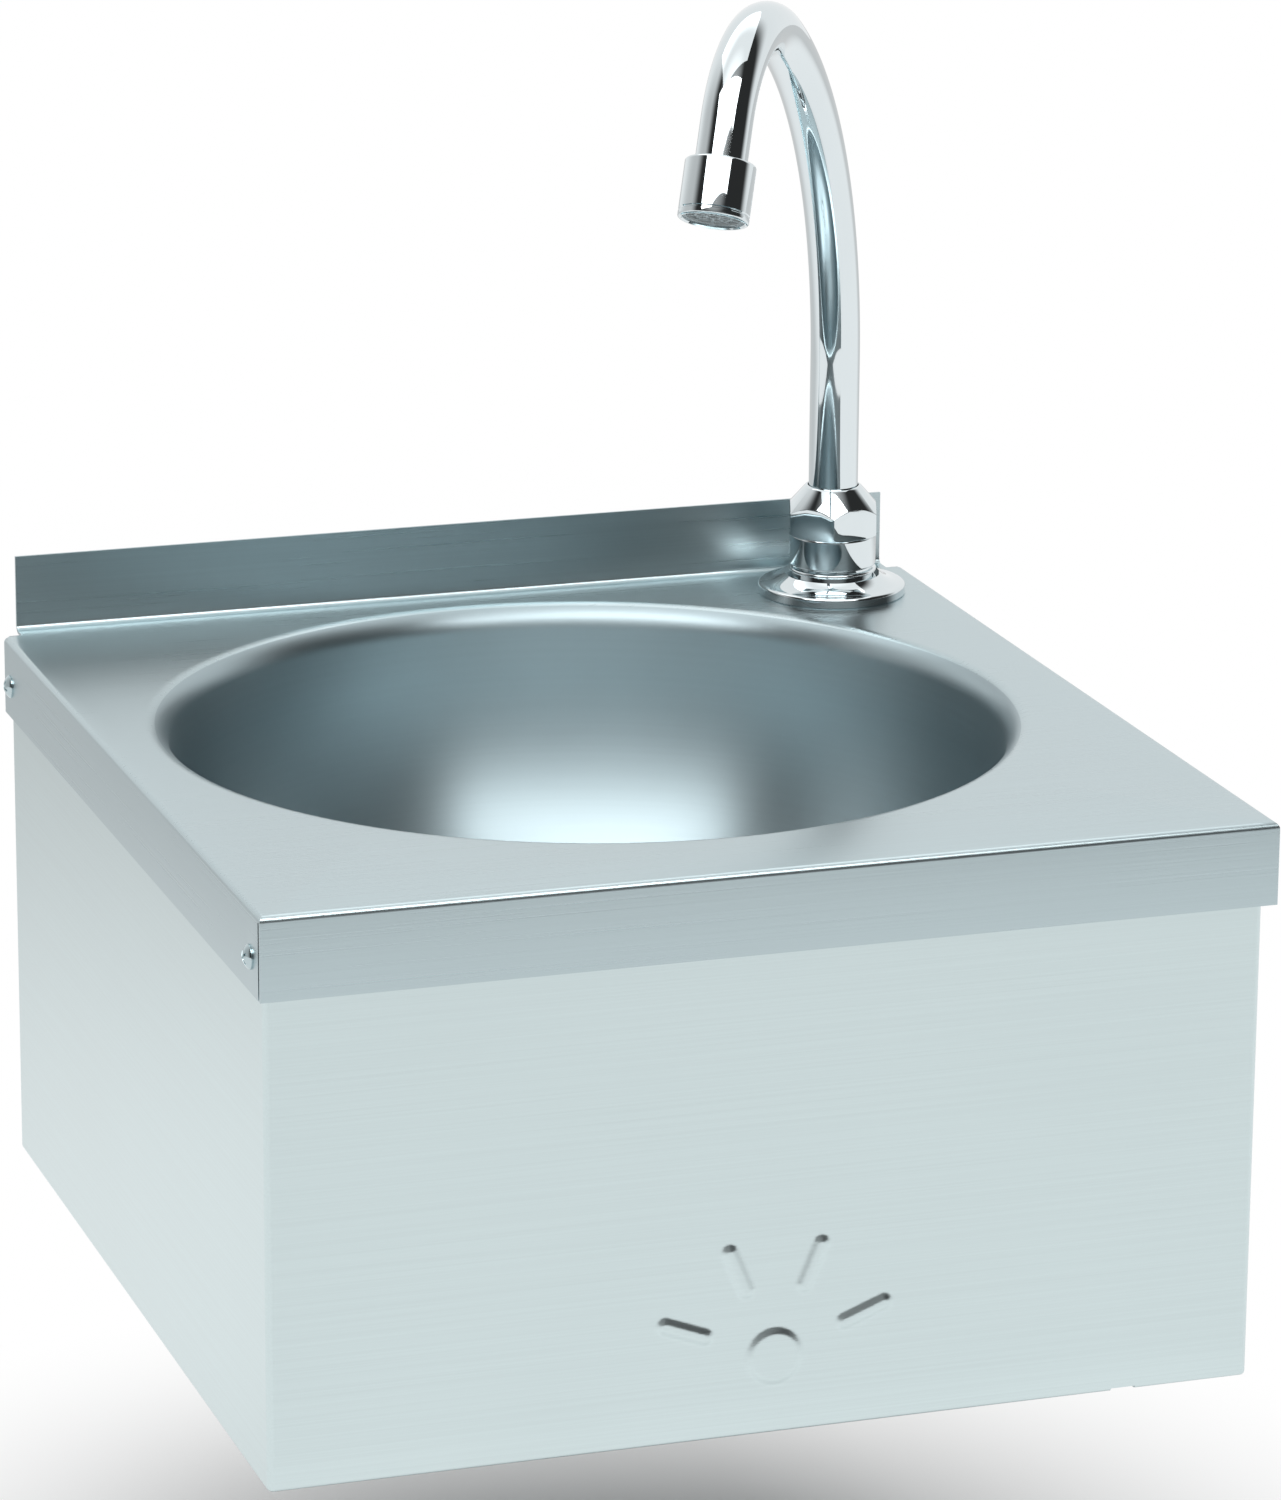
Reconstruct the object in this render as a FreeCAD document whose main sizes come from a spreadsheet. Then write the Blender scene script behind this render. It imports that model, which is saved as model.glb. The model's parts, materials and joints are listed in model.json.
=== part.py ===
# Knee-operated hand basin for a wall: deck and bowl, swinging skirt, self-closing valve, swan-neck tap.
# Millimetres, +Z up, +Y towards the wall. The origin is the centre of the wall fixing holes, on the wall.
import FreeCAD, Part
import math
import os
import Sketcher
from FreeCAD import Placement, Rotation, Vector

# Driving dimensions: name, value, what it measures
SIZES = [
    ("rim_width", 400, "deck across its side flanges"),
    ("rim_depth", 404, "side flange from front to rear end"),
    ("wall_gap", 10, "rear end of the side flanges to the wall"),
    ("sheet_wall", 1.2, "thickness of the basin sheet"),
    ("rim_drop", 32.5, "height of the downturned flanges"),
    ("rim_bend", 2.5, "outside radius of the deck's edges"),
    ("upstand_height", 31.5, "upstand above the deck"),
    ("upstand_inset", 7.5, "upstand's ends from the side flanges"),
    ("deck_height", 110, "deck above the fixing centre"),
    ("body_height", 226, "deck top to skirt bottom"),
    ("seam_width", 1.4, "open corner seam of the rim"),
    ("bowl_offset", -4.2, "bowl axis across the deck"),
    ("bowl_back", 194.6, "bowl axis to the wall"),
    ("bowl_radius", 167.3, "bowl's inside wall"),
    ("roll_radius", 10, "rolled edge of the bowl"),
    ("bowl_depth", 140, "deck top to bowl floor"),
    ("bowl_round", 110, "inside radius between wall and floor"),
    ("skirt_side_gap", 1.8, "skirt's sides inside the side flanges"),
    ("skirt_front_gap", 5.0, "skirt's front behind the front flange"),
    ("skirt_rear_gap", 11, "skirt's rear edges to the wall"),
    ("skirt_bend", 3, "outside radius of the skirt's corners"),
    ("skirt_top_front", 5, "skirt's top edge under the deck top, at the front"),
    ("skirt_top_rear", 12.8, "the same at the rear"),
    ("skirt_lip", 12, "inward return along the skirt's bottom"),
    ("notch_side", 140, "bottom notch from the middle"),
    ("notch_width", 10, "bottom notch"),
    ("swing_rise", 9, "rise of the skirt at the rear guides"),
    ("pivot_setback", 14, "front screws behind the rim's front"),
    ("guide_setback", 10, "rear screws from the side flange's rear end"),
    ("screw_drop", 19, "rim screws under the deck top"),
    ("screw_radius", 2.5, "rim screw shank"),
    ("screw_head_radius", 4.8, "rim screw head"),
    ("screw_head_height", 2.8, "rim screw head"),
    ("screw_head_edge", 0.6, "rim of the rim screw head"),
    ("screw_length", 14.5, "rim screw shank"),
    ("bush_radius", 4, "sleeve that the skirt turns on"),
    ("bush_flange_radius", 6.5, "spacer flange of the bush"),
    ("guide_washer_radius", 4.9, "washer inside the skirt"),
    ("guide_washer_wall", 1.6, "washer inside the skirt"),
    ("guide_nut_corner", 4.6, "nut across corners, half"),
    ("guide_nut_height", 4, "nut on the rim screw"),
    ("running_fit", 0.05, "radial play of a turning fit"),
    ("edge_break", 1, "chamfer on turned pieces"),
    ("loose_fit", 0.1, "radial play of a bolted fit"),
    ("mark_side", 1.5, "press mark from the middle"),
    ("mark_drop", 195, "press mark and valve axis under the deck top"),
    ("mark_dot_radius", 10.5, "round press mark"),
    ("mark_ring", 38.5, "middle of the bars from the dot"),
    ("mark_bar_length", 22, "bar round the dot"),
    ("mark_bar_width", 5, "bar round the dot"),
    ("mark_depth", 0.8, "pressed depth of the mark"),
    ("mark_spacing", 46, "degrees between bars"),
    ("plate_side", 185, "back plate, half width"),
    ("plate_wall", 2, "back plate and tray thickness"),
    ("plate_bottom", 214, "back plate's bottom under the deck top"),
    ("plate_flange", 14, "back plate's top flange"),
    ("fixing_side", 140, "wall hole from the middle"),
    ("fixing_rise", 45, "wall hole above and below the centre"),
    ("fixing_radius", 4.5, "wall hole"),
    ("tray_side", 60, "valve tray, half width"),
    ("tray_drop", 220, "tray's underside under the deck top"),
    ("tray_flange", 32, "tray's rear flange"),
    ("tray_hole", 38, "hole round the waste, radius"),
    ("lug_side", 30, "tray's front lug, half width"),
    ("lug_height", 50, "tray's front lug"),
    ("lug_back", 350, "rear face of the lug to the wall"),
    ("stud_side", 45, "tray stud from the middle"),
    ("stud_rise", 18, "tray stud above the tray"),
    ("stud_radius", 3, "tray stud"),
    ("stud_length", 11, "tray stud"),
    ("stud_nut_corner", 5.8, "tray nut across corners, half"),
    ("stud_nut_height", 5, "tray nut"),
    ("valve_radius", 20, "valve body"),
    ("valve_length", 60, "valve body"),
    ("valve_bore", 10, "piston bore"),
    ("valve_bore_depth", 50, "piston bore"),
    ("neck_radius", 12, "threaded neck of the bonnet"),
    ("neck_length", 22, "threaded neck of the bonnet"),
    ("neck_nut_corner", 18.5, "neck nut across corners, half"),
    ("neck_nut_height", 6, "neck nut"),
    ("rod_radius", 4, "valve plunger"),
    ("piston_radius", 9.9, "plunger's piston"),
    ("piston_length", 6, "plunger's piston"),
    ("piston_start", 6, "piston behind the bonnet at rest"),
    ("button_radius", 10, "button on the plunger"),
    ("button_length", 8, "button on the plunger"),
    ("spring_radius", 7.5, "valve spring outside"),
    ("spring_wall", 1.6, "valve spring wire"),
    ("striker_radius", 20, "striker cup on the skirt"),
    ("striker_wall", 4, "striker cup's side"),
    ("striker_length", 10, "striker cup"),
    ("striker_floor", 2, "striker cup's end"),
    ("pad_radius", 9, "rubber pad on the striker"),
    ("pad_length", 4, "rubber pad on the striker"),
    ("pad_gap", 0.4, "pad to button at rest"),
    ("port_radius", 9, "valve's ports"),
    ("port_reach", 34, "end of the outlet port from the valve axis"),
    ("port_back", 310, "ports to the wall"),
    ("inlet_drop", 2, "end of the inlet port under the tray"),
    ("port_bore", 4, "water way"),
    ("inlet_radius", 10.4, "inlet thread"),
    ("inlet_bore", 6, "inlet nipple's water way, radius"),
    ("inlet_thread", 16, "inlet thread's length"),
    ("inlet_hex_corner", 13.5, "inlet nipple across corners, half"),
    ("inlet_hex_length", 7, "inlet nipple's hex"),
    ("inlet_washer_wall", 2, "fibre washer at the inlet"),
    ("pipe_radius", 5, "supply pipe outside"),
    ("pipe_wall", 1, "supply pipe wall"),
    ("pipe_bend", 30, "supply pipe bend"),
    ("pipe_nut_corner", 10.5, "pipe nut across corners, half"),
    ("pipe_nut_length", 12, "pipe nut"),
    ("tap_side", 155.9, "tap axis from the middle"),
    ("tap_back", 40.7, "tap axis to the wall"),
    ("flange_radius", 31.5, "tap flange"),
    ("flange_edge", 4.4, "tap flange's upright edge"),
    ("flange_height", 8.5, "tap flange"),
    ("flange_top_radius", 20.5, "top of the flange's slope"),
    ("tap_body_wall", 5.2, "tap body outside the spigot"),
    ("tap_body_top", 26.3, "tap body above the deck"),
    ("spigot_wall", 1.5, "threaded spigot outside its seal grooves"),
    ("spigot_top", 36, "top of the spigot above the deck"),
    ("socket_floor", 12, "floor of the spout socket above the deck"),
    ("shank_radius", 10.2, "threaded shank"),
    ("shank_length", 55, "threaded shank under the deck top"),
    ("shank_bore", 6, "water way of the shank"),
    ("tap_gasket_radius", 26, "gasket under the deck"),
    ("tap_gasket_wall", 2, "gasket and washer under the deck"),
    ("tap_nut_corner", 17, "tap lock nut across corners, half"),
    ("tap_nut_height", 8, "tap lock nut"),
    ("seal_wire", 0.68, "seal's section radius"),
    ("seal_first", 20, "lower seal above the deck"),
    ("seal_second", 27, "upper seal above the deck"),
    ("seal_groove", 2, "seal groove's height"),
    ("nut_wall", 4.9, "spout nut at its flats"),
    ("nut_shoulder", 35.3, "start of the nut's cone above the deck"),
    ("nut_ceiling", 38.9, "underside of the nut's top above the deck"),
    ("nut_top", 47.2, "top of the nut above the deck"),
    ("nut_lip", 1.7, "top of the nut's cone outside the tube"),
    ("collar_inset", 0.3, "collar inside the nut's thread"),
    ("collar_height", 2.5, "collar on the spout"),
    ("collar_play", 0.1, "collar above the spigot"),
    ("tube_radius", 10.5, "spout tube outside"),
    ("tube_play", 2, "tube's end above the socket floor"),
    ("tube_wall", 1.2, "spout tube wall"),
    ("spout_aim", -126, "degrees from +X to the spout's reach"),
    ("spout_stub", 87.7, "upright start of the tube"),
    ("spout_sweep_radius", 174.6, "long bend"),
    ("spout_sweep", 62.6, "degrees of the long bend"),
    ("spout_hook_radius", 51.6, "hook bend"),
    ("spout_hook", 91.8, "degrees of the hook bend"),
    ("spout_end", 24, "straight end"),
    ("aerator_radius", 14.3, "aerator housing"),
    ("aerator_length", 24, "aerator housing"),
    ("aerator_overlap", 7, "housing over the tube's end"),
    ("aerator_wall", 2, "aerator housing"),
    ("aerator_washer_wall", 2, "washer between tube and insert"),
    ("insert_length", 9, "aerator insert"),
    ("insert_recess", 1.5, "insert behind the housing's mouth"),
    ("waste_hole", 24, "hole in the bowl's floor, radius"),
    ("waste_radius", 35, "strainer flange"),
    ("waste_edge", 2, "strainer flange"),
    ("waste_gasket_wall", 1.5, "gasket under the strainer"),
    ("strainer_holes", 4.2, "drain hole radius"),
    ("strainer_ring", 13.5, "drain holes from the axis"),
    ("seat_radius", 33, "flange of the tail"),
    ("seat_wall", 4, "flange of the tail"),
    ("waste_seal_wall", 2, "seal under the bowl"),
    ("tail_radius", 20.95, "waste tail outside"),
    ("tail_bore", 17.5, "waste tail inside"),
    ("tail_length", 82, "tail's end under the bowl floor"),
    ("bridge_drop", 28, "bridge in the tail under the bowl floor"),
    ("bridge_width", 9, "bridge in the tail"),
    ("bridge_height", 6, "bridge in the tail"),
    ("waste_screw_radius", 3, "screw between strainer and tail"),
    ("waste_screw_head", 6, "screw head radius"),
    ("waste_screw_head_height", 3, "screw head"),
]
STRAINER_HOLE_COUNT = 6

doc = FreeCAD.newDocument("knee_basin")
sheet = doc.addObject("Spreadsheet::Sheet", "sizes")
for row, (alias, value, note) in enumerate(SIZES, 1):
    sheet.set(f"A{row}", note)
    sheet.set(f"B{row}", str(value))
    sheet.setAlias(f"B{row}", alias)
doc.recompute()


class Size:
    """A length kept together with the spreadsheet formula that it comes from."""

    def __init__(self, formula, number):
        self.formula = formula
        self.number = number

    def joined(self, other, sign, number):
        return Size(f"({self.formula} {sign} {other.formula})", number)

    def __add__(self, other):
        other = as_size(other)
        return self.joined(other, "+", self.number + other.number)

    def __sub__(self, other):
        other = as_size(other)
        return self.joined(other, "-", self.number - other.number)

    def __mul__(self, other):
        other = as_size(other)
        return self.joined(other, "*", self.number * other.number)

    def __truediv__(self, other):
        other = as_size(other)
        return self.joined(other, "/", self.number / other.number)

    def __radd__(self, other):
        return as_size(other) + self

    def __rsub__(self, other):
        return as_size(other) - self

    def __rmul__(self, other):
        return as_size(other) * self

    def __neg__(self):
        return Size(f"(0 - {self.formula})", -self.number)


class Sizes:
    """The driving dimensions, by name."""


def as_size(thing):
    return thing if isinstance(thing, Size) else Size(f"({float(thing)})", float(thing))


dim = Sizes()
for alias, value, note in SIZES:
    setattr(dim, alias, Size(f"sizes.{alias}", float(sheet.get(alias))))

TURN = {
    "+z": Rotation(),
    "-z": Rotation(Vector(1, 0, 0), 180),
    "+y": Rotation(Vector(1, 0, 0), -90),
    "+x": Rotation(Vector(0, 1, 0), 90),
    "-x": Rotation(Vector(0, 1, 0), -90),
}
finished = []


# Building blocks
def bind(obj, name, size):
    """Tie a property to the spreadsheet."""
    obj.setExpression(name, as_size(size).formula)


def place(obj, at, way="+z"):
    """Put an object at a point, with its own Z along the given way."""
    point = [as_size(value) for value in at]
    obj.Placement = Placement(Vector(*[value.number for value in point]), TURN[way])
    for letter, value in zip("xyz", point):
        bind(obj, f"Placement.Base.{letter}", value)


def box(name, low, high):
    """A block between two corners."""
    block = doc.addObject("Part::Box", name)
    for side, start, end in zip(("Length", "Width", "Height"), low, high):
        bind(block, side, as_size(end) - start)
    place(block, low)
    return block


def rod(name, radius, length, at, way="+z"):
    """A cylinder from a point along a way."""
    cylinder = doc.addObject("Part::Cylinder", name)
    bind(cylinder, "Radius", radius)
    bind(cylinder, "Height", length)
    place(cylinder, at, way)
    return cylinder


def hexagon(name, corner, length, at, way="+z"):
    """A hexagonal bar from a point along a way."""
    prism = doc.addObject("Part::Prism", name)
    prism.Polygon = 6
    bind(prism, "Circumradius", corner)
    bind(prism, "Height", length)
    place(prism, at, way)
    return prism


def cut(name, base, *tools):
    """The base without its tools."""
    for count, tool in enumerate(tools):
        result = doc.addObject("Part::Cut", f"{name}_cut{count}")
        result.Base = base
        result.Tool = tool
        base = result
    return base


def fuse(name, *pieces):
    result = doc.addObject("Part::MultiFuse", name)
    result.Shapes = list(pieces)
    result.Refine = True
    return result


def common(name, first, second):
    result = doc.addObject("Part::Common", name)
    result.Base = first
    result.Tool = second
    return result


def rounded(name, block, radius, chosen):
    """A block with the edges that are chosen by their middle point rounded."""
    doc.recompute()
    result = doc.addObject("Part::Fillet", name)
    result.Base = block
    result.Edges = [
        (number, radius.number, radius.number)
        for number, edge in enumerate(block.Shape.Edges, 1)
        if chosen(edge.CenterOfMass)
    ]
    return result


def arc(centre, end):
    """A step of an outline: a round stretch about a centre to an end point."""
    return {"centre": [as_size(value) for value in centre], "end": [as_size(value) for value in end]}


def draw(sketch, outline):
    """Draw a closed outline of points and arcs, with every corner tied to the spreadsheet."""
    steps = []
    for step in outline:
        steps.append(step if isinstance(step, dict) else {"end": [as_size(value) for value in step]})
    corners = [Vector(step["end"][0].number, step["end"][1].number, 0) for step in steps]
    ends = []
    for number, step in enumerate(steps):
        start, end = corners[number - 1], corners[number]
        if "centre" in step:
            middle = Vector(step["centre"][0].number, step["centre"][1].number, 0)
            first, last = start - middle, end - middle
            forward = first.cross(last).z > 0
            angles = [math.atan2(spoke.y, spoke.x) for spoke in ((first, last) if forward else (last, first))]
            circle = Part.Circle(middle, Vector(0, 0, 1), first.Length)
            line = sketch.addGeometry(Part.ArcOfCircle(circle, angles[0], angles[1]), False)
            ends.append((line, 1, 2) if forward else (line, 2, 1))
        else:
            line = sketch.addGeometry(Part.LineSegment(start, end), False)
            ends.append((line, 1, 2))
    for number, step in enumerate(steps):
        line, first, last = ends[number]
        following = ends[(number + 1) % len(ends)]
        sketch.addConstraint(Sketcher.Constraint("Coincident", line, last, following[0], following[1]))
        pin_corner(sketch, line, last, step["end"])
        if "centre" in step:
            pin_value(sketch, "DistanceX", line, 3, step["centre"][0])


def pin_corner(sketch, line, point, corner):
    pin_value(sketch, "DistanceX", line, point, corner[0])
    pin_value(sketch, "DistanceY", line, point, corner[1])


def pin_value(sketch, kind, line, point, size):
    """Hold one coordinate of a sketch point at a size; zero lies on an axis."""
    if abs(size.number) < 1e-9:
        axis = -2 if kind == "DistanceX" else -1
        sketch.addConstraint(Sketcher.Constraint("PointOnObject", line, point, axis))
        return
    number = sketch.addConstraint(Sketcher.Constraint(kind, -1, 1, line, point, size.number))
    sketch.setExpression(f"Constraints[{number}]", size.formula)


def sketched_body(name, plane, outline):
    """A body with one closed sketch on an origin plane."""
    body = doc.addObject("PartDesign::Body", name)
    sketch = body.newObject("Sketcher::SketchObject", f"{name}_outline")
    base = [feature for feature in body.Origin.OriginFeatures if feature.Role == plane][0]
    sketch.AttachmentSupport = [(base, "")]
    sketch.MapMode = "FlatFace"
    draw(sketch, outline)
    return body, sketch


def turned(name, outline, at, way="+z"):
    """A lathe piece: an outline of (radius, height) turned about its own Z axis."""
    body, sketch = sketched_body(name, "XZ_Plane", outline)
    turn = body.newObject("PartDesign::Revolution", f"{name}_turn")
    turn.Profile = sketch
    turn.ReferenceAxis = (sketch, ["V_Axis"])
    turn.Angle = 360
    body.Tip = turn
    place(body, at, way)
    return body


def ring(name, inner, outer, height, at, way="+z"):
    """A plain turned ring."""
    return turned(name, [(inner, 0), (outer, 0), (outer, height), (inner, height)], at, way)


def slab(name, outline, width, at):
    """A piece cut from (y, z) in the YZ plane, as wide as given, about its middle."""
    body, sketch = sketched_body(name, "YZ_Plane", outline)
    pad = body.newObject("PartDesign::Pad", f"{name}_pad")
    pad.Profile = sketch
    pad.Midplane = True
    bind(pad, "Length", width)
    body.Tip = pad
    place(body, at)
    return body


def finish(label, piece):
    """Name a sub-part for its file."""
    piece.Label = label
    finished.append(piece)
    return piece


def group(label, pieces):
    """Like pieces as one sub-part of separate solids."""
    compound = doc.addObject("Part::Compound", f"{label}_group")
    compound.Links = pieces
    return finish(label, compound)


def solid(label, shape):
    """A sub-part whose shape is made in code."""
    feature = doc.addObject("Part::Feature", f"{label}_solid")
    feature.Shape = shape
    return finish(label, feature)


# Places that several pieces share
deck = dim.deck_height
front = -(dim.rim_depth + dim.wall_gap)
side = dim.rim_width / 2
under_deck = deck - dim.sheet_wall
bottom = deck - dim.body_height
bowl_y = -dim.bowl_back
skirt_front = front + dim.sheet_wall + dim.skirt_front_gap
skirt_side = side - dim.sheet_wall - dim.skirt_side_gap
skirt_inside = skirt_side - dim.sheet_wall
skirt_rear = -dim.skirt_rear_gap
screw_z = deck - dim.screw_drop
pivot_y = front + dim.pivot_setback
guide_y = -(dim.wall_gap + dim.guide_setback)
valve_z = deck - dim.mark_drop
valve_x = dim.mark_side
tap_y = -dim.tap_back
tray_low = deck - dim.tray_drop
tray_top = tray_low + dim.plate_wall
inlet_z = tray_low - dim.inlet_drop
lug_y = -dim.lug_back
socket = dim.tube_radius + dim.running_fit
seal_groove = socket + 2 * dim.seal_wire
spigot = seal_groove + dim.spigot_wall
tap_body = spigot + dim.tap_body_wall
nut_corner = (spigot + dim.nut_wall) / math.cos(math.pi / 6)
clear = 20


# Deck with its rim, upstand, rolled bowl edge and holes
def make_basin_top():
    rim_rear = -dim.wall_gap
    outer = box("rim_outer", (-side, front, deck - dim.rim_drop), (side, rim_rear, deck))
    top, edge_front = deck.number, front.number
    outer = rounded("rim_outer_round", outer, dim.rim_bend,
                    lambda middle: on_rim_edge(middle, top, side.number, edge_front))
    wall = dim.sheet_wall
    inner = box("rim_inner", (-side + wall, front + wall, deck - dim.rim_drop - clear),
                (side - wall, rim_rear + clear, under_deck))
    inner_side = (side - wall).number
    inner_front = (front + wall).number
    inner = rounded("rim_inner_round", inner, dim.rim_bend - wall,
                    lambda middle: on_rim_edge(middle, under_deck.number, inner_side, inner_front))
    shell = cut("rim_shell", outer, inner)
    half = side - dim.upstand_inset
    strip = box("deck_rear", (-half, rim_rear, under_deck), (half, 0, deck))
    upstand = box("upstand", (-half, -wall, under_deck), (half, 0, deck + dim.upstand_height))
    opening = dim.bowl_radius + dim.roll_radius
    roll = turned("bowl_roll", [
        (opening, 0),
        arc((opening, -dim.roll_radius), (dim.bowl_radius, -dim.roll_radius)),
        (dim.bowl_radius + wall, -dim.roll_radius),
        arc((opening, -dim.roll_radius), (opening, -wall)),
    ], (dim.bowl_offset, bowl_y, deck))
    mouth = rod("bowl_mouth", opening, dim.sheet_wall + 2 * clear, (dim.bowl_offset, bowl_y, deck - clear))
    tap_hole = rod("tap_hole", dim.shank_radius + dim.loose_fit, 2 * clear,
                   (dim.tap_side, tap_y, deck - clear))
    tools = [mouth, tap_hole]
    for name, hand in (("left", -1), ("right", 1)):
        for spot, screw_y in (("front", pivot_y), ("rear", guide_y)):
            tools.append(rod(f"rim_hole_{name}_{spot}", dim.screw_radius + dim.loose_fit, 2 * clear,
                             (hand * side - clear, screw_y, screw_z), "+x"))
        low_x = hand * side - dim.rim_bend
        tools.append(box(f"rim_seam_{name}", (low_x, front + wall, deck - dim.rim_drop - clear),
                         (low_x + 2 * dim.rim_bend, front + wall + dim.seam_width, deck - dim.rim_bend)))
    plate = fuse("deck_plate", shell, strip, upstand)
    finish("basin_top", fuse("basin_top_fuse", cut("deck_open", plate, *tools), roll))


def on_rim_edge(middle, top, side_x, front_y):
    """True on the top edges of a box along its front and its two sides."""
    at_side = abs(abs(middle.x) - side_x) < 0.01
    at_front = abs(middle.y - front_y) < 0.01
    return abs(middle.z - top) < 0.01 and at_side != at_front


# Bowl, welded under the rolled edge
def make_bowl():
    wall = dim.sheet_wall
    centre = (dim.bowl_radius - dim.bowl_round, dim.bowl_round - dim.bowl_depth)
    finish("bowl", turned("bowl_shell", [
        (dim.bowl_radius, -dim.roll_radius),
        (dim.bowl_radius, centre[1]),
        arc(centre, (centre[0], -dim.bowl_depth)),
        (dim.waste_hole, -dim.bowl_depth),
        (dim.waste_hole, -dim.bowl_depth - wall),
        (centre[0], -dim.bowl_depth - wall),
        arc(centre, (dim.bowl_radius + wall, centre[1])),
        (dim.bowl_radius + wall, -dim.roll_radius),
    ], (dim.bowl_offset, bowl_y, deck)))


# Skirt: one sheet round front and sides, with a return along the bottom
def capsule(name, width, length, start, depth):
    """A round-ended bar above the dot, lying in the front panel."""
    half = width / 2
    reach = length / 2 - half
    middle = valve_z + dim.mark_ring
    block = box(f"{name}_bar", (valve_x - half, start, middle - reach),
                (valve_x + half, start + depth, middle + reach))
    ends = [
        rod(f"{name}_end{sign}", half, depth, (valve_x, start, middle + sign * reach), "+y")
        for sign in (-1, 1)
    ]
    return fuse(f"{name}_capsule", block, *ends)


def press_mark(name, grow, start, depth):
    """The dot and its four bars as one tool."""
    dot = rod(f"{name}_dot", dim.mark_dot_radius + grow, depth, (valve_x, start, valve_z), "+y")
    bar = capsule(name, dim.mark_bar_width + 2 * grow, dim.mark_bar_length + 2 * grow, start, depth)
    doc.recompute()
    centre = Vector(valve_x.number, 0, valve_z.number)
    pieces = [dot.Shape]
    for step in (-1.5, -0.5, 0.5, 1.5):
        copy = bar.Shape.copy()
        copy.rotate(centre, Vector(0, 1, 0), step * dim.mark_spacing.number)
        pieces.append(copy)
    tool = doc.addObject("Part::Feature", f"{name}_mark")
    tool.Shape = Part.makeCompound(pieces)
    return tool


def make_skirt():
    wall = dim.sheet_wall
    top = deck - dim.skirt_top_front
    outer = box("skirt_outer", (-skirt_side, skirt_front, bottom), (skirt_side, skirt_rear, top))
    outer = rounded("skirt_outer_round", outer, dim.skirt_bend,
                    lambda middle: abs(middle.y - skirt_front.number) < 0.01 and abs(middle.x) > 1
                    and abs(middle.z - bottom.number) > 1 and abs(middle.z - top.number) > 1)
    inner = box("skirt_inner", (-skirt_inside, skirt_front + wall, bottom + wall),
                (skirt_inside, skirt_rear + clear, top + clear))
    inner_front = (skirt_front + wall).number
    inner = rounded("skirt_inner_round", inner, dim.skirt_bend - wall,
                    lambda middle: abs(middle.y - inner_front) < 0.01 and abs(middle.x) > 1
                    and abs(middle.z - (bottom + wall).number) > 1
                    and abs(middle.z - (top + clear).number) > 1)
    opening = box("skirt_open", (-skirt_side + dim.skirt_lip, skirt_front + dim.skirt_lip, bottom - clear),
                  (skirt_side - dim.skirt_lip, skirt_rear + clear, bottom + clear))
    slope = slab("skirt_slope", [
        (pivot_y, top),
        (skirt_rear + clear, deck - dim.skirt_top_rear),
        (skirt_rear + clear, top + clear),
        (pivot_y, top + clear),
    ], dim.rim_width, (0, 0, 0))
    notch_x = dim.notch_side
    notch = box("skirt_notch", (notch_x, skirt_front - clear, bottom - clear),
                (notch_x + dim.notch_width, skirt_front + dim.skirt_bend, bottom + wall))
    tools = [inner, opening, slope, notch]
    hole = dim.bush_radius + dim.running_fit
    for name, hand in (("left", -1), ("right", 1)):
        across = hand * skirt_side - clear
        tools.append(rod(f"pivot_hole_{name}", hole, 2 * clear, (across, pivot_y, screw_z), "+x"))
        slot = dim.bush_radius + 6 * dim.running_fit
        low = screw_z - dim.swing_rise
        tools.append(rod(f"slot_top_{name}", slot, 2 * clear, (across, guide_y, screw_z), "+x"))
        tools.append(rod(f"slot_low_{name}", slot, 2 * clear, (across, guide_y, low), "+x"))
        tools.append(box(f"slot_run_{name}", (across, guide_y - slot, low),
                         (across + 2 * clear, guide_y + slot, screw_z)))
    plain = cut("skirt_sheet", outer, *tools)
    backing = press_mark("mark_back", dim.sheet_wall, skirt_front + wall, dim.mark_depth)
    recess = press_mark("mark_face", as_size(0), skirt_front, dim.mark_depth)
    finish("skirt", cut("skirt_marked", fuse("skirt_backed", plain, backing), recess))


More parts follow.
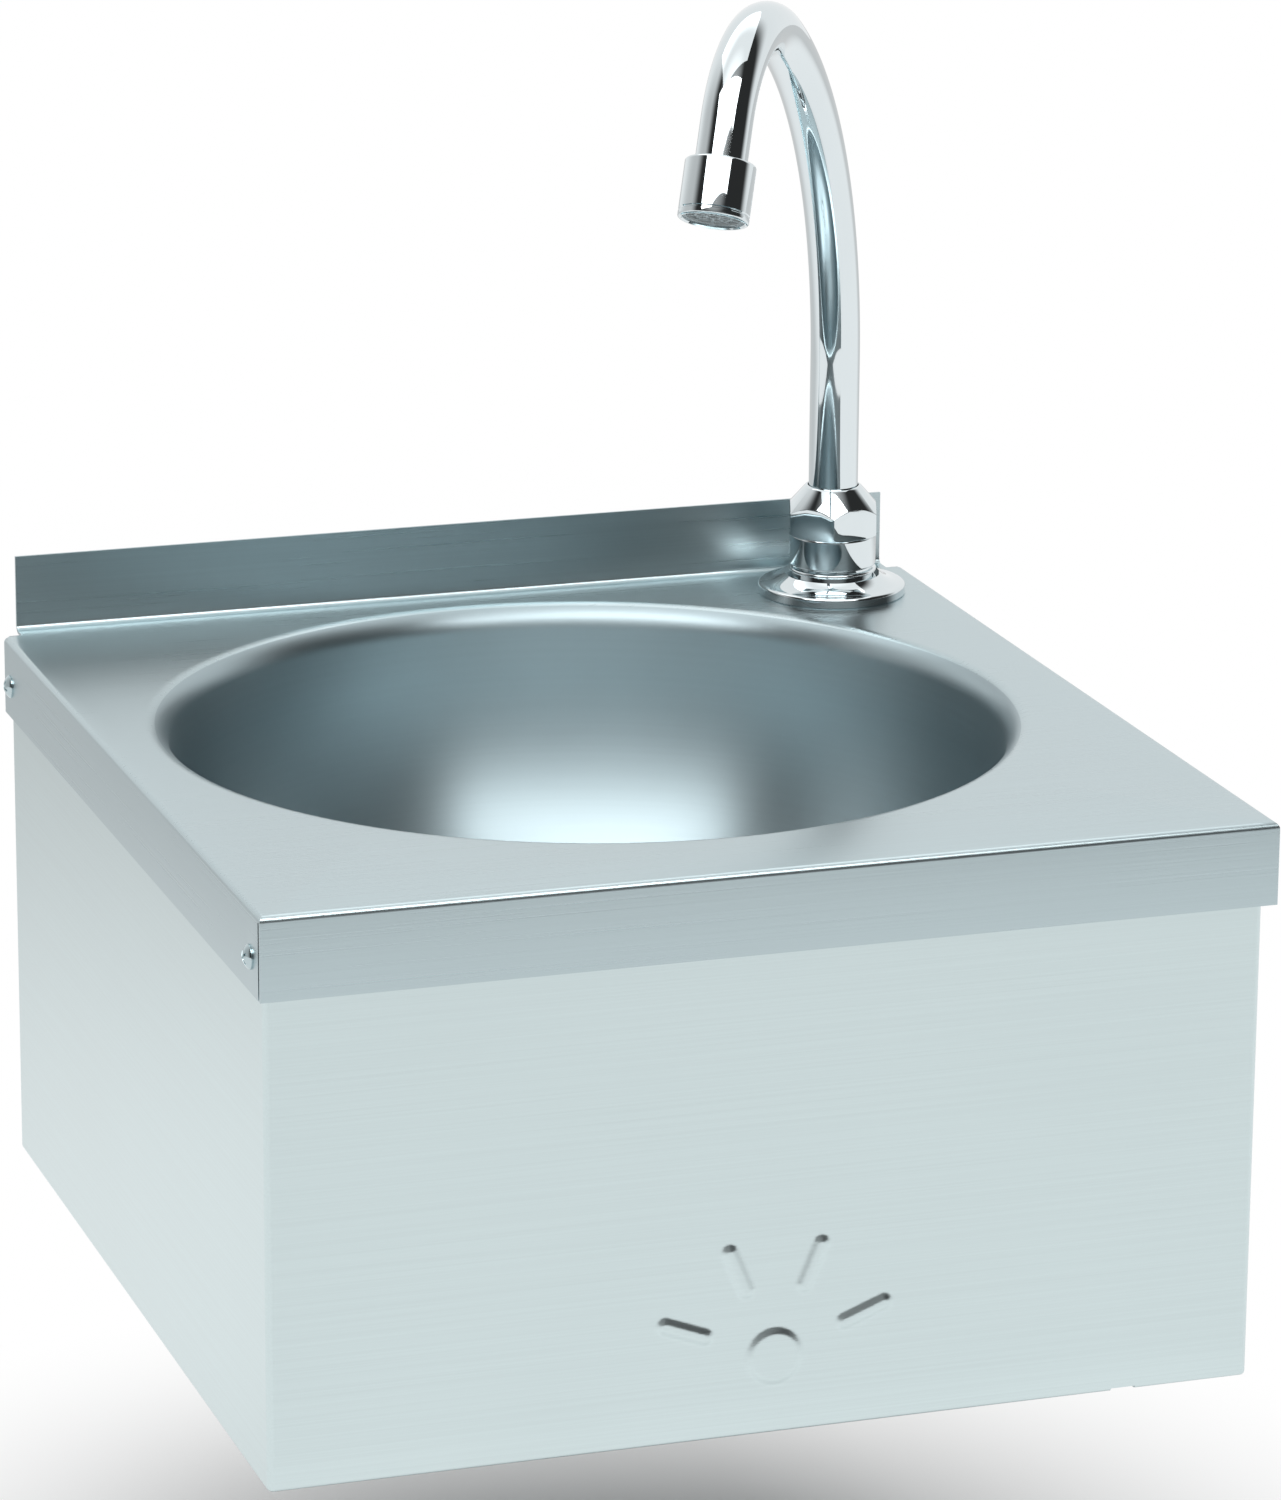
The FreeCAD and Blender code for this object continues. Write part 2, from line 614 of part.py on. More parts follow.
# Rim screws with the bushes, washers and nuts that the skirt turns and slides on
def make_guides():
    kinds = {"guide_screws": [], "guide_bushes": [], "guide_washers": [], "guide_nuts": []}
    bush_flange = dim.skirt_side_gap - dim.loose_fit
    bush_length = bush_flange + dim.sheet_wall + 4 * dim.loose_fit
    bore = dim.screw_radius + dim.loose_fit
    head, edge, height = dim.screw_head_radius, dim.screw_head_edge, dim.screw_head_height
    dome = (head * head + edge * edge - height * height) / (2 * (height - edge))
    for name, hand, way in (("left", -1, "+x"), ("right", 1, "-x")):
        for spot, screw_y in (("front", pivot_y), ("rear", guide_y)):
            tag = f"{name}_{spot}"
            seat = (hand * side, screw_y, screw_z)
            kinds["guide_screws"].append(turned(f"screw_{tag}", [
                (0, -dim.screw_head_height),
                arc((0, dome), (dim.screw_head_radius, -dim.screw_head_edge)),
                (dim.screw_head_radius, 0),
                (dim.screw_radius, 0),
                (dim.screw_radius, dim.screw_length),
                (0, dim.screw_length),
            ], seat, way))
            inside = (hand * (side - dim.sheet_wall), screw_y, screw_z)
            kinds["guide_bushes"].append(turned(f"bush_{tag}", [
                (bore, 0),
                (dim.bush_flange_radius, 0),
                (dim.bush_flange_radius, bush_flange),
                (dim.bush_radius, bush_flange),
                (dim.bush_radius, bush_length),
                (bore, bush_length),
            ], inside, way))
            washer_x = hand * (side - dim.sheet_wall - bush_length)
            kinds["guide_washers"].append(ring(f"washer_{tag}", bore, dim.guide_washer_radius,
                                               dim.guide_washer_wall, (washer_x, screw_y, screw_z), way))
            nut_x = hand * (side - dim.sheet_wall - bush_length - dim.guide_washer_wall)
            blank = hexagon(f"nut_blank_{tag}", dim.guide_nut_corner, dim.guide_nut_height,
                            (nut_x, screw_y, screw_z), way)
            thread = rod(f"nut_thread_{tag}", dim.screw_radius, dim.guide_nut_height,
                         (nut_x, screw_y, screw_z), way)
            kinds["guide_nuts"].append(cut(f"nut_{tag}", blank, thread))
    for label, pieces in kinds.items():
        group(label, pieces)


# Wall plate, and the tray that carries the valve from it
def make_back_plate():
    half = dim.plate_side
    wall = dim.plate_wall
    upright = box("plate_upright", (-half, -wall, deck - dim.plate_bottom), (half, 0, under_deck))
    flange = box("plate_flange_strip", (-half, -dim.plate_flange, under_deck - wall), (half, 0, under_deck))
    holes = [
        rod(f"wall_hole{across}{up}", dim.fixing_radius, 2 * clear,
            (across * dim.fixing_side, -clear, up * dim.fixing_rise), "+y")
        for across in (-1, 1) for up in (-1, 1)
    ]
    finish("back_plate", cut("plate", fuse("plate_fuse", upright, flange), *holes))


def make_valve_tray():
    wall = dim.plate_wall
    rear = -dim.plate_wall
    half = dim.tray_side
    floor = box("tray_floor", (-half, lug_y - wall, tray_low), (half, rear, tray_top))
    flange = box("tray_rear", (-half, rear - wall, tray_low), (half, rear, tray_low + dim.tray_flange))
    lug = box("tray_lug", (valve_x - dim.lug_side, lug_y - wall, tray_low),
              (valve_x + dim.lug_side, lug_y, tray_low + dim.lug_height))
    round_waste = rod("tray_waste", dim.tray_hole, 2 * clear, (dim.bowl_offset, bowl_y, tray_low - clear))
    neck = rod("tray_neck", dim.neck_radius + dim.loose_fit, 2 * clear,
               (valve_x, lug_y - clear, valve_z), "+y")
    inlet = rod("tray_inlet", dim.port_radius + dim.loose_fit, 2 * clear,
                (valve_x, -dim.port_back, tray_low - clear))
    tools = [round_waste, neck, inlet]
    studs = []
    nuts = []
    stud_z = tray_low + dim.stud_rise
    for name, hand in (("left", -1), ("right", 1)):
        stud_x = hand * dim.stud_side
        tools.append(rod(f"stud_hole_{name}", dim.stud_radius + dim.loose_fit, clear,
                         (stud_x, -as_size(clear), stud_z), "+y"))
        studs.append(rod(f"stud_{name}", dim.stud_radius, dim.stud_length,
                         (stud_x, rear - dim.stud_length, stud_z), "+y"))
        nut_y = rear - wall - dim.stud_nut_height
        nut_at = (stud_x, nut_y, stud_z)
        blank = hexagon(f"stud_nut_blank_{name}", dim.stud_nut_corner, dim.stud_nut_height, nut_at, "+y")
        thread = rod(f"stud_thread_{name}", dim.stud_radius, dim.stud_nut_height, nut_at, "+y")
        nuts.append(cut(f"stud_nut_{name}", blank, thread))
    finish("valve_tray", cut("tray", fuse("tray_fuse", floor, flange, lug), *tools))
    group("tray_studs", studs)
    group("tray_nuts", nuts)


# Self-closing valve: body, bonnet, nut, plunger, button and spring
def make_valve():
    seat = (valve_x, lug_y, valve_z)
    wall = dim.plate_wall
    barrel = rod("valve_barrel", dim.valve_radius, dim.valve_length, seat, "+y")
    ports = []
    bores = []
    for name, reach, way in (("out", dim.port_reach, "+x"), ("in", valve_z - inlet_z, "-z")):
        start = (valve_x, -dim.port_back, valve_z)
        ports.append(rod(f"port_{name}", dim.port_radius, reach, start, way))
        bores.append(rod(f"port_bore_{name}", dim.port_bore, reach, start, way))
    hollow = rod("valve_hollow", dim.valve_bore, dim.valve_bore_depth, seat, "+y")
    finish("valve_body", cut("valve_casting", fuse("valve_fuse", barrel, *ports), hollow, *bores))
    neck_front = lug_y - dim.neck_length
    finish("valve_bonnet", ring("bonnet", dim.rod_radius + dim.running_fit, dim.neck_radius, dim.neck_length,
                                (valve_x, neck_front, valve_z), "+y"))
    nut_y = lug_y - wall - dim.neck_nut_height
    nut_at = (valve_x, nut_y, valve_z)
    blank = hexagon("neck_nut_blank", dim.neck_nut_corner, dim.neck_nut_height, nut_at, "+y")
    thread = rod("neck_nut_thread", dim.neck_radius, dim.neck_nut_height, nut_at, "+y")
    finish("valve_locknut", cut("neck_nut", blank, thread))
    button_front = skirt_front + dim.sheet_wall + dim.striker_length + dim.pad_length + dim.pad_gap
    rod_start = button_front + dim.button_length
    rod_length = lug_y + dim.piston_start - rod_start
    finish("valve_plunger", turned("plunger", [
        (0, 0),
        (dim.rod_radius, 0),
        (dim.rod_radius, rod_length),
        (dim.piston_radius, rod_length),
        (dim.piston_radius, rod_length + dim.piston_length),
        (0, rod_length + dim.piston_length),
    ], (valve_x, rod_start, valve_z), "+y"))
    finish("plunger_button", turned("button", [
        (0, 0),
        (dim.button_radius - dim.edge_break, 0),
        (dim.button_radius, dim.edge_break),
        (dim.button_radius, dim.button_length),
        (0, dim.button_length),
    ], (valve_x, button_front, valve_z), "+y"))
    finish("valve_spring", ring("spring", dim.spring_radius - dim.spring_wall, dim.spring_radius,
                                neck_front - rod_start, (valve_x, rod_start, valve_z), "+y"))


def make_striker():
    """Cup behind the press mark, with a rubber pad on its end."""
    cup_y = skirt_front + dim.sheet_wall
    hollow = dim.striker_radius - dim.striker_wall
    finish("striker_block", turned("striker", [
        (hollow, 0),
        (dim.striker_radius, 0),
        (dim.striker_radius, dim.striker_length),
        (0, dim.striker_length),
        (0, dim.striker_length - dim.striker_floor),
        (hollow, dim.striker_length - dim.striker_floor),
    ], (valve_x, cup_y, valve_z), "+y"))
    finish("striker_pad", turned("pad", [
        (0, 0),
        (dim.pad_radius, 0),
        (dim.pad_radius, dim.pad_length),
        (0, dim.pad_length),
    ], (valve_x, cup_y + dim.striker_length, valve_z), "+y"))


# Water inlet, and the rigid pipe from the valve to the tap
def make_inlet():
    port_y = -dim.port_back
    finish("inlet_washer", ring("inlet_seal", dim.port_bore, dim.port_radius, dim.inlet_washer_wall,
                                (valve_x, port_y, inlet_z), "-z"))
    hex_at = (valve_x, port_y, inlet_z - dim.inlet_washer_wall)
    head = hexagon("inlet_hex", dim.inlet_hex_corner, dim.inlet_hex_length, hex_at, "-z")
    thread = rod("inlet_spigot", dim.inlet_radius, dim.inlet_hex_length + dim.inlet_thread, hex_at, "-z")
    bore = rod("inlet_bore", dim.inlet_bore, dim.inlet_hex_length + dim.inlet_thread, hex_at, "-z")
    finish("inlet_nipple", cut("inlet", fuse("inlet_fuse", head, thread), bore))


def pipe_path(points, radius):
    """Straight runs joined by tangent arcs."""
    edges = []
    start = points[0]
    for corner, following in zip(points[1:-1], points[2:]):
        way_in = (corner - start).normalize()
        way_out = (following - corner).normalize()
        setback = radius * math.tan(way_in.getAngle(way_out) / 2)
        first = corner - way_in * setback
        last = corner + way_out * setback
        inward = (way_out - way_in).normalize()
        depth = math.hypot(setback, radius) - radius
        edges.append(Part.LineSegment(start, first).toShape())
        edges.append(Part.Arc(first, corner + inward * depth, last).toShape())
        start = last
    edges.append(Part.LineSegment(start, points[-1]).toShape())
    return Part.Wire(edges)


def tube_along(path, radius, wall):
    """A round tube swept along a path."""
    edge = path.Edges[0]
    start = edge.valueAt(edge.FirstParameter)
    way = edge.tangentAt(edge.FirstParameter)
    shells = []
    for size in (radius, radius - wall):
        circle = Part.Wire(Part.Circle(start, way, size).toShape())
        shells.append(path.makePipeShell([circle], True, False))
    return shells[0].cut(shells[1])


def make_supply_pipe():
    port_end = valve_x + dim.port_reach
    points = [
        Vector(port_end.number, -dim.port_back.number, valve_z.number),
        Vector(dim.tap_side.number, -dim.port_back.number, valve_z.number),
        Vector(dim.tap_side.number, tap_y.number, valve_z.number),
        Vector(dim.tap_side.number, tap_y.number, (deck - dim.shank_length).number),
    ]
    path = pipe_path(points, dim.pipe_bend.number)
    solid("supply_pipe", tube_along(path, dim.pipe_radius.number, dim.pipe_wall.number))
    ends = (
        ("pipe_nut_valve", (port_end, -dim.port_back, valve_z), "+x"),
        ("pipe_nut_tap", (dim.tap_side, tap_y, deck - dim.shank_length), "-z"),
    )
    for label, at, way in ends:
        blank = hexagon(f"{label}_blank", dim.pipe_nut_corner, dim.pipe_nut_length, at, way)
        bore = rod(f"{label}_bore", dim.pipe_radius + dim.running_fit, dim.pipe_nut_length, at, way)
        finish(label, cut(f"{label}_turned", blank, bore))


# Strainer waste
def make_waste():
    at = (dim.bowl_offset, bowl_y, deck - dim.bowl_depth)
    finish("waste_gasket", ring("strainer_gasket", dim.waste_hole, dim.waste_radius - dim.edge_break,
                                dim.waste_gasket_wall, at))
    low = dim.waste_gasket_wall
    plate = turned("strainer", [
        (0, low),
        (dim.waste_radius, low),
        (dim.waste_radius, low + dim.waste_edge / 2),
        (dim.waste_radius - 2 * dim.edge_break, low + dim.waste_edge),
        (dim.waste_hole - 2 * dim.edge_break, low + dim.waste_edge),
        (dim.waste_hole - 4 * dim.edge_break, low + dim.waste_edge / 2),
        (0, low + dim.waste_edge / 2),
    ], at)
    floor_z = deck - dim.bowl_depth
    tools = [rod("strainer_screw_hole", dim.waste_screw_radius + dim.loose_fit, 2 * clear,
                 (dim.bowl_offset, bowl_y, floor_z - clear))]
    for step in range(STRAINER_HOLE_COUNT):
        angle = 2 * math.pi * step / STRAINER_HOLE_COUNT
        tools.append(rod(f"drain_hole{step}", dim.strainer_holes, 2 * clear,
                         (dim.bowl_offset + dim.strainer_ring * math.cos(angle),
                          bowl_y + dim.strainer_ring * math.sin(angle), floor_z - clear)))
    finish("waste_flange", cut("strainer_drilled", plate, *tools))
    under_bowl = -dim.sheet_wall
    seal_low = under_bowl - dim.waste_seal_wall
    finish("waste_seal", ring("bowl_seal", dim.waste_hole, dim.seat_radius, dim.waste_seal_wall,
                              (dim.bowl_offset, bowl_y, floor_z + seal_low)))
    end = -dim.tail_length
    tube = turned("tail_tube", [
        (dim.tail_bore, end),
        (dim.tail_radius, end),
        (dim.tail_radius, seal_low - dim.seat_wall),
        (dim.seat_radius, seal_low - dim.seat_wall),
        (dim.seat_radius, seal_low),
        (dim.tail_bore, seal_low),
    ], at)
    half = dim.bridge_width / 2
    bridge_z = floor_z - dim.bridge_drop
    reach = (dim.tail_bore + dim.tail_radius) / 2
    bridge = box("tail_bridge", (dim.bowl_offset - reach, bowl_y - half, bridge_z),
                 (dim.bowl_offset + reach, bowl_y + half, bridge_z + dim.bridge_height))
    thread = rod("bridge_thread", dim.waste_screw_radius, dim.bridge_height,
                 (dim.bowl_offset, bowl_y, bridge_z))
    finish("waste_tail", cut("tail", fuse("tail_fuse", tube, bridge), thread))
    head_low = low + dim.waste_edge / 2
    finish("waste_screw", turned("strainer_screw", [
        (0, -dim.bridge_drop),
        (dim.waste_screw_radius, -dim.bridge_drop),
        (dim.waste_screw_radius, head_low),
        (dim.waste_screw_head, head_low),
        (dim.waste_screw_head, head_low + dim.waste_screw_head_height / 2),
        (dim.waste_screw_head - 2 * dim.edge_break, head_low + dim.waste_screw_head_height),
        (0, head_low + dim.waste_screw_head_height),
    ], at))


# Tap: flange, body, seals and nuts
def make_tap():
    at = (dim.tap_side, tap_y, deck)
    shank_hole = dim.shank_radius + dim.loose_fit
    finish("tap_flange", turned("escutcheon", [
        (shank_hole, 0),
        (dim.flange_radius, 0),
        (dim.flange_radius, dim.flange_edge - dim.edge_break),
        (dim.flange_radius - dim.edge_break, dim.flange_edge),
        (dim.flange_top_radius, dim.flange_height),
        (shank_hole, dim.flange_height),
    ], at))
    outline = [
        (dim.shank_bore, -dim.shank_length),
        (dim.shank_radius, -dim.shank_length),
        (dim.shank_radius, dim.flange_height),
        (tap_body - dim.edge_break, dim.flange_height),
        (tap_body, dim.flange_height + dim.edge_break),
        (tap_body, dim.tap_body_top - dim.edge_break),
        (tap_body - dim.edge_break, dim.tap_body_top),
        (spigot, dim.tap_body_top),
        (spigot, dim.spigot_top),
        (socket, dim.spigot_top),
    ]
    for height in (dim.seal_second, dim.seal_first):
        outline += [
            (socket, height + dim.seal_groove),
            (seal_groove, height + dim.seal_groove),
            (seal_groove, height),
            (socket, height),
        ]
    outline += [(socket, dim.socket_floor), (dim.shank_bore, dim.socket_floor)]
    finish("tap_body", turned("tap_casting", outline, at))
    seals = []
    for name, height in (("lower", dim.seal_first), ("upper", dim.seal_second)):
        seal = doc.addObject("Part::Torus", f"seal_{name}")
        bind(seal, "Radius1", socket + dim.seal_wire)
        bind(seal, "Radius2", dim.seal_wire)
        place(seal, (dim.tap_side, tap_y, deck + height + dim.seal_groove / 2))
        seals.append(seal)
    group("spout_seals", seals)
    gasket_z = under_deck - dim.tap_gasket_wall
    finish("tap_gasket", ring("deck_gasket", shank_hole, dim.tap_gasket_radius, dim.tap_gasket_wall,
                              (dim.tap_side, tap_y, gasket_z)))
    washer_z = gasket_z - dim.tap_gasket_wall
    washer_radius = dim.tap_gasket_radius - 2 * dim.edge_break
    finish("tap_washer", ring("deck_washer", shank_hole, washer_radius, dim.tap_gasket_wall,
                              (dim.tap_side, tap_y, washer_z)))
    nut_z = washer_z - dim.tap_nut_height
    blank = hexagon("tap_nut_blank", dim.tap_nut_corner, dim.tap_nut_height, (dim.tap_side, tap_y, nut_z))
    thread = rod("tap_nut_thread", dim.shank_radius, dim.tap_nut_height, (dim.tap_side, tap_y, nut_z))
    finish("tap_locknut", cut("tap_nut", blank, thread))


def make_spout_nut():
    """Hexagon with a conical top, screwed over the spout's collar."""
    at = (dim.tap_side, tap_y, deck)
    top_bore = dim.tube_radius + 4 * dim.loose_fit
    cone = turned("nut_cone", [
        (spigot, dim.tap_body_top),
        (nut_corner + dim.edge_break, dim.tap_body_top),
        (nut_corner + dim.edge_break, dim.nut_shoulder),
        (dim.tube_radius + dim.nut_lip, dim.nut_top),
        (top_bore, dim.nut_top),
        (top_bore, dim.nut_ceiling),
        (spigot, dim.nut_ceiling),
    ], at)
    prism = hexagon("nut_prism", nut_corner, dim.nut_top - dim.tap_body_top,
                    (dim.tap_side, tap_y, deck + dim.tap_body_top))
    finish("spout_nut", common("nut_shaped", prism, cone))


# Swivelling spout with its collar and aerator
def spout_path():
    """Upright stub, long bend, hook and straight end, in the plane of the reach."""
    aim = math.radians(dim.spout_aim.number)
    outward = Vector(math.cos(aim), math.sin(aim), 0)
    point = Vector(dim.tap_side.number, tap_y.number, (deck + dim.socket_floor + dim.tube_play).number)
    tilt = 0.0
    edges = []
    steps = (
        ("run", dim.spout_stub.number, 0),
        ("bend", dim.spout_sweep_radius.number, dim.spout_sweep.number),
        ("bend", dim.spout_hook_radius.number, dim.spout_hook.number),
        ("run", dim.spout_end.number, 0),
    )
    for kind, size, turn in steps:
        heading = outward * math.sin(tilt) + Vector(0, 0, math.cos(tilt))
        if kind == "run":
            following = point + heading * size
            edges.append(Part.LineSegment(point, following).toShape())
        else:
            inward = outward * math.cos(tilt) - Vector(0, 0, math.sin(tilt))
            centre = point + inward * size
            axis = Vector(0, 0, 1).cross(outward)
            stops = [
                centre + Rotation(axis, share * turn).multVec(point - centre)
                for share in (0.5, 1)
            ]
            edges.append(Part.Arc(point, *stops).toShape())
            following = stops[1]
            tilt += math.radians(turn)
        point = following
    heading = outward * math.sin(tilt) + Vector(0, 0, math.cos(tilt))
    return Part.Wire(edges), point, heading


def make_spout():
    path, end, heading = spout_path()
    solid("spout_tube", tube_along(path, dim.tube_radius.number, dim.tube_wall.number))
    finish("spout_collar", ring("collar", dim.tube_radius, spigot - dim.collar_inset, dim.collar_height,
                                (dim.tap_side, tap_y, deck + dim.spigot_top + dim.collar_play)))
    turn = Rotation(Vector(0, 0, 1), heading)
    mouth = dim.aerator_length - dim.aerator_overlap
    inner = dim.aerator_radius - dim.aerator_wall
    washer_end = dim.aerator_washer_wall
    insert_low = mouth - dim.insert_recess - dim.insert_length
    insert_high = mouth - dim.insert_recess
    pieces = {
        "aerator_housing": turned("housing", [
            (dim.tube_radius, -dim.aerator_overlap),
            (dim.aerator_radius - dim.edge_break, -dim.aerator_overlap),
            (dim.aerator_radius, dim.edge_break - dim.aerator_overlap),
            (dim.aerator_radius, mouth - dim.edge_break),
            (dim.aerator_radius - dim.edge_break, mouth),
            (inner, mouth),
            (inner, 0),
            (dim.tube_radius, 0),
        ], (0, 0, 0)),
        "aerator_washer": ring("tube_washer", dim.tube_radius - dim.tube_wall, inner, washer_end, (0, 0, 0)),
        "aerator_insert": turned("insert", [
            (dim.port_bore, washer_end),
            (inner, washer_end),
            (inner, insert_high),
            (0, insert_high),
            (0, insert_low),
            (dim.port_bore, insert_low),
        ], (0, 0, 0)),
    }
    for label, body in pieces.items():
        for letter in "xyz":
            body.setExpression(f"Placement.Base.{letter}", None)
        body.Placement = Placement(end, turn)
        finish(label, body)


make_basin_top()
make_bowl()
make_skirt()
make_guides()
make_back_plate()
make_valve_tray()
make_valve()
make_striker()
make_inlet()
make_supply_pipe()
make_waste()
make_tap()
make_spout_nut()
make_spout()

doc.recompute()
faults = [obj.Name for obj in doc.Objects if "Invalid" in obj.State or "Error" in obj.State]
faults += [piece.Label for piece in finished if piece.Shape.isNull() or not piece.Shape.isValid()]
if faults:
    raise RuntimeError(f"failed pieces: {faults}")
os.makedirs("parts", exist_ok=True)
for piece in finished:
    piece.Shape.exportStep(f"parts/{piece.Label}.step")
    print(f"{piece.Label}: {len(piece.Shape.Solids)} solids, {piece.Shape.Volume:.0f} mm3")
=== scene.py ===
import json
import math

import bmesh
import bpy
from bpy.props import FloatProperty, FloatVectorProperty, IntProperty, PointerProperty
from mathutils import Matrix, Quaternion, Vector


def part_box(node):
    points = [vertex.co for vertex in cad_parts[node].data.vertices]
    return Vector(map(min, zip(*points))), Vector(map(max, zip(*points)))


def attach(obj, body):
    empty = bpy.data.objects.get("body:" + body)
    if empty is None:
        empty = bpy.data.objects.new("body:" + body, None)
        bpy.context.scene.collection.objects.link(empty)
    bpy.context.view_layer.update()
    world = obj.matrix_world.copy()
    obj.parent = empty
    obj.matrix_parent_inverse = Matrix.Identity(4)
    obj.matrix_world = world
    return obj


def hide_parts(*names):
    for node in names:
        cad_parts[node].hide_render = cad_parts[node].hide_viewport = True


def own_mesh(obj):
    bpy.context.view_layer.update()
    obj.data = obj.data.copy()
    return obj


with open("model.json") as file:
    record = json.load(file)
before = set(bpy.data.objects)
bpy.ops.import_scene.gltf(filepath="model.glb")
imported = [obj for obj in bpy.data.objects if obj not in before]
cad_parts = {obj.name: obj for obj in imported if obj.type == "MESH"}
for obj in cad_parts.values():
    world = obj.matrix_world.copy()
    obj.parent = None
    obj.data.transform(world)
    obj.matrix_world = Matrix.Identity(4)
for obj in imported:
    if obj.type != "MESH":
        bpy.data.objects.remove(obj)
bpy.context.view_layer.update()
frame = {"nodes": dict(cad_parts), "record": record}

bl_info = {
    "name": "Hand Basin",
    "version": (1, 0, 0),
    "blender": (4, 5, 0),
    "location": "View3D > Sidebar > Basin",
    "description": "Models a knee-operated hand basin and its swan-neck tap round a CAD frame",
    "category": "Object",
}


def length(name, default, description):
    return FloatProperty(name=name, description=description, default=default, unit="LENGTH", precision=5)


def turn_angle(name, degrees, description):
    return FloatProperty(name=name, description=description, default=math.radians(degrees), subtype="ANGLE")


def position(name, default, description):
    return FloatVectorProperty(name=name, description=description, default=default, size=len(default),
                               unit="LENGTH")


def power(name, default, description):
    return FloatProperty(name=name, description=description, default=default, min=0, unit="POWER")


def colour(name, default, description):
    return FloatVectorProperty(name=name, description=description, default=default, size=3, min=0, max=1,
                               subtype="COLOR")


def share(name, default, description):
    return FloatProperty(name=name, description=description, default=default, min=0, max=1, subtype="FACTOR")


class BasinSizes(bpy.types.PropertyGroup):
    """Pressed top and bowl."""

    rim_side: length("Rim side", 0.200, "Outer face of a side flange from the middle")
    rim_front: length("Rim front", -0.414, "Outer face of the front flange")
    rim_rear: length("Rim rear", -0.010, "Rear end of the side flanges")
    deck: length("Deck", 0.110, "Height of the deck's top face")
    rim_drop: length("Rim drop", 0.0325, "Height of the flanges")
    bend: length("Bend", 0.0025, "Radius of the folded edges")
    sheet: length("Sheet", 0.0012, "Thickness of the sheet")
    upstand: length("Upstand", 0.0315, "Height of the rear upstand")
    upstand_side: length("Upstand side", 0.1925, "End of the upstand from the middle")
    seam: length("Corner seam", 0.0014, "Open seam behind the front flange")
    seam_reach: length("Corner seam reach", 0.006, "How far the seam goes in from the side")
    bowl_middle: position("Bowl middle", (-0.0042, -0.1946), "Axis of the bowl")
    bowl_radius: length("Bowl radius", 0.1673, "Inside of the bowl's upright wall")
    roll: length("Roll", 0.010, "Radius of the rolled edge between deck and bowl")
    bowl_depth: length("Bowl depth", 0.140, "Bowl floor under the deck")
    bowl_round: length("Bowl round", 0.110, "Radius between the bowl's wall and floor")
    waste_hole: length("Waste hole", 0.024, "Radius of the hole in the bowl floor")
    tap_hole: length("Tap hole", 0.0103, "Radius of the hole in the deck and the tap flange")
    screw_hole: length("Screw hole", 0.0026, "Radius of the holes in the side flanges")
    segments: IntProperty(name="Segments", description="Steps round the bowl, a multiple of eight",
                          default=192, min=32)


class SkirtSizes(bpy.types.PropertyGroup):
    """Knee skirt with its press mark, and the screws that it swings on."""

    side: length("Side", 0.197, "Outer face of a side from the middle")
    front: length("Front", -0.4078, "Outer face of the front")
    rear: length("Rear", -0.011, "Rear ends of the sides")
    top: length("Top", 0.105, "Top edge at the front, behind the rim")
    top_fall: length("Top fall", 0.0078, "Fall of the top edge towards the rear")
    bottom: length("Bottom", -0.116, "Underside")
    bend: length("Bend", 0.003, "Radius of the upright front corners")
    lip: length("Lip", 0.012, "Return along the bottom")
    lip_bend: length("Lip bend", 0.0014, "Radius of the fold above the return")
    notch: length("Notch", 0.140, "Near end of the drain notch from the middle")
    notch_width: length("Notch width", 0.010, "Width of the drain notch")
    mark_middle: position("Mark middle", (0.0015, -0.085), "Middle of the round mark, across and up")
    dot: length("Dot", 0.0105, "Radius of the round mark")
    bar_ring: length("Bar ring", 0.0385, "Middle of a bar from the dot's middle")
    bar_length: length("Bar length", 0.022, "Length of a bar")
    bar_width: length("Bar width", 0.005, "Width of a bar")
    bar_step: turn_angle("Bar step", 46, "Angle between two bars")
    mark_height: length("Mark height", 0.0010, "How far the mark stands out")
    mark_slope: length("Mark slope", 0.0035, "Width of the mark's sloping edge")
    screw_height: length("Screw height", 0.091, "Height of the rim screws")
    pivot: length("Pivot", -0.400, "Front screws, which the skirt turns on")
    guide: length("Guide", -0.020, "Rear screws, which guide the skirt")
    guide_travel: length("Guide travel", 0.009, "Length of a guide slot below its screw")
    pivot_hole: length("Pivot hole", 0.00405, "Radius of the holes on the front screws")
    guide_slot: length("Guide slot", 0.0043, "Half width of the slots on the rear screws")
    screw: length("Screw", 0.0025, "Radius of a rim screw's thread")
    screw_length: length("Screw length", 0.0145, "Length of a rim screw under its head")
    screw_head: length("Screw head", 0.0048, "Radius of a rim screw's head")
    screw_dome: length("Screw dome", 0.0028, "Height of a rim screw's head")
    nut: length("Nut", 0.0046, "Rim nut across corners, half")
    nut_height: length("Nut height", 0.004, "Height of a rim nut")


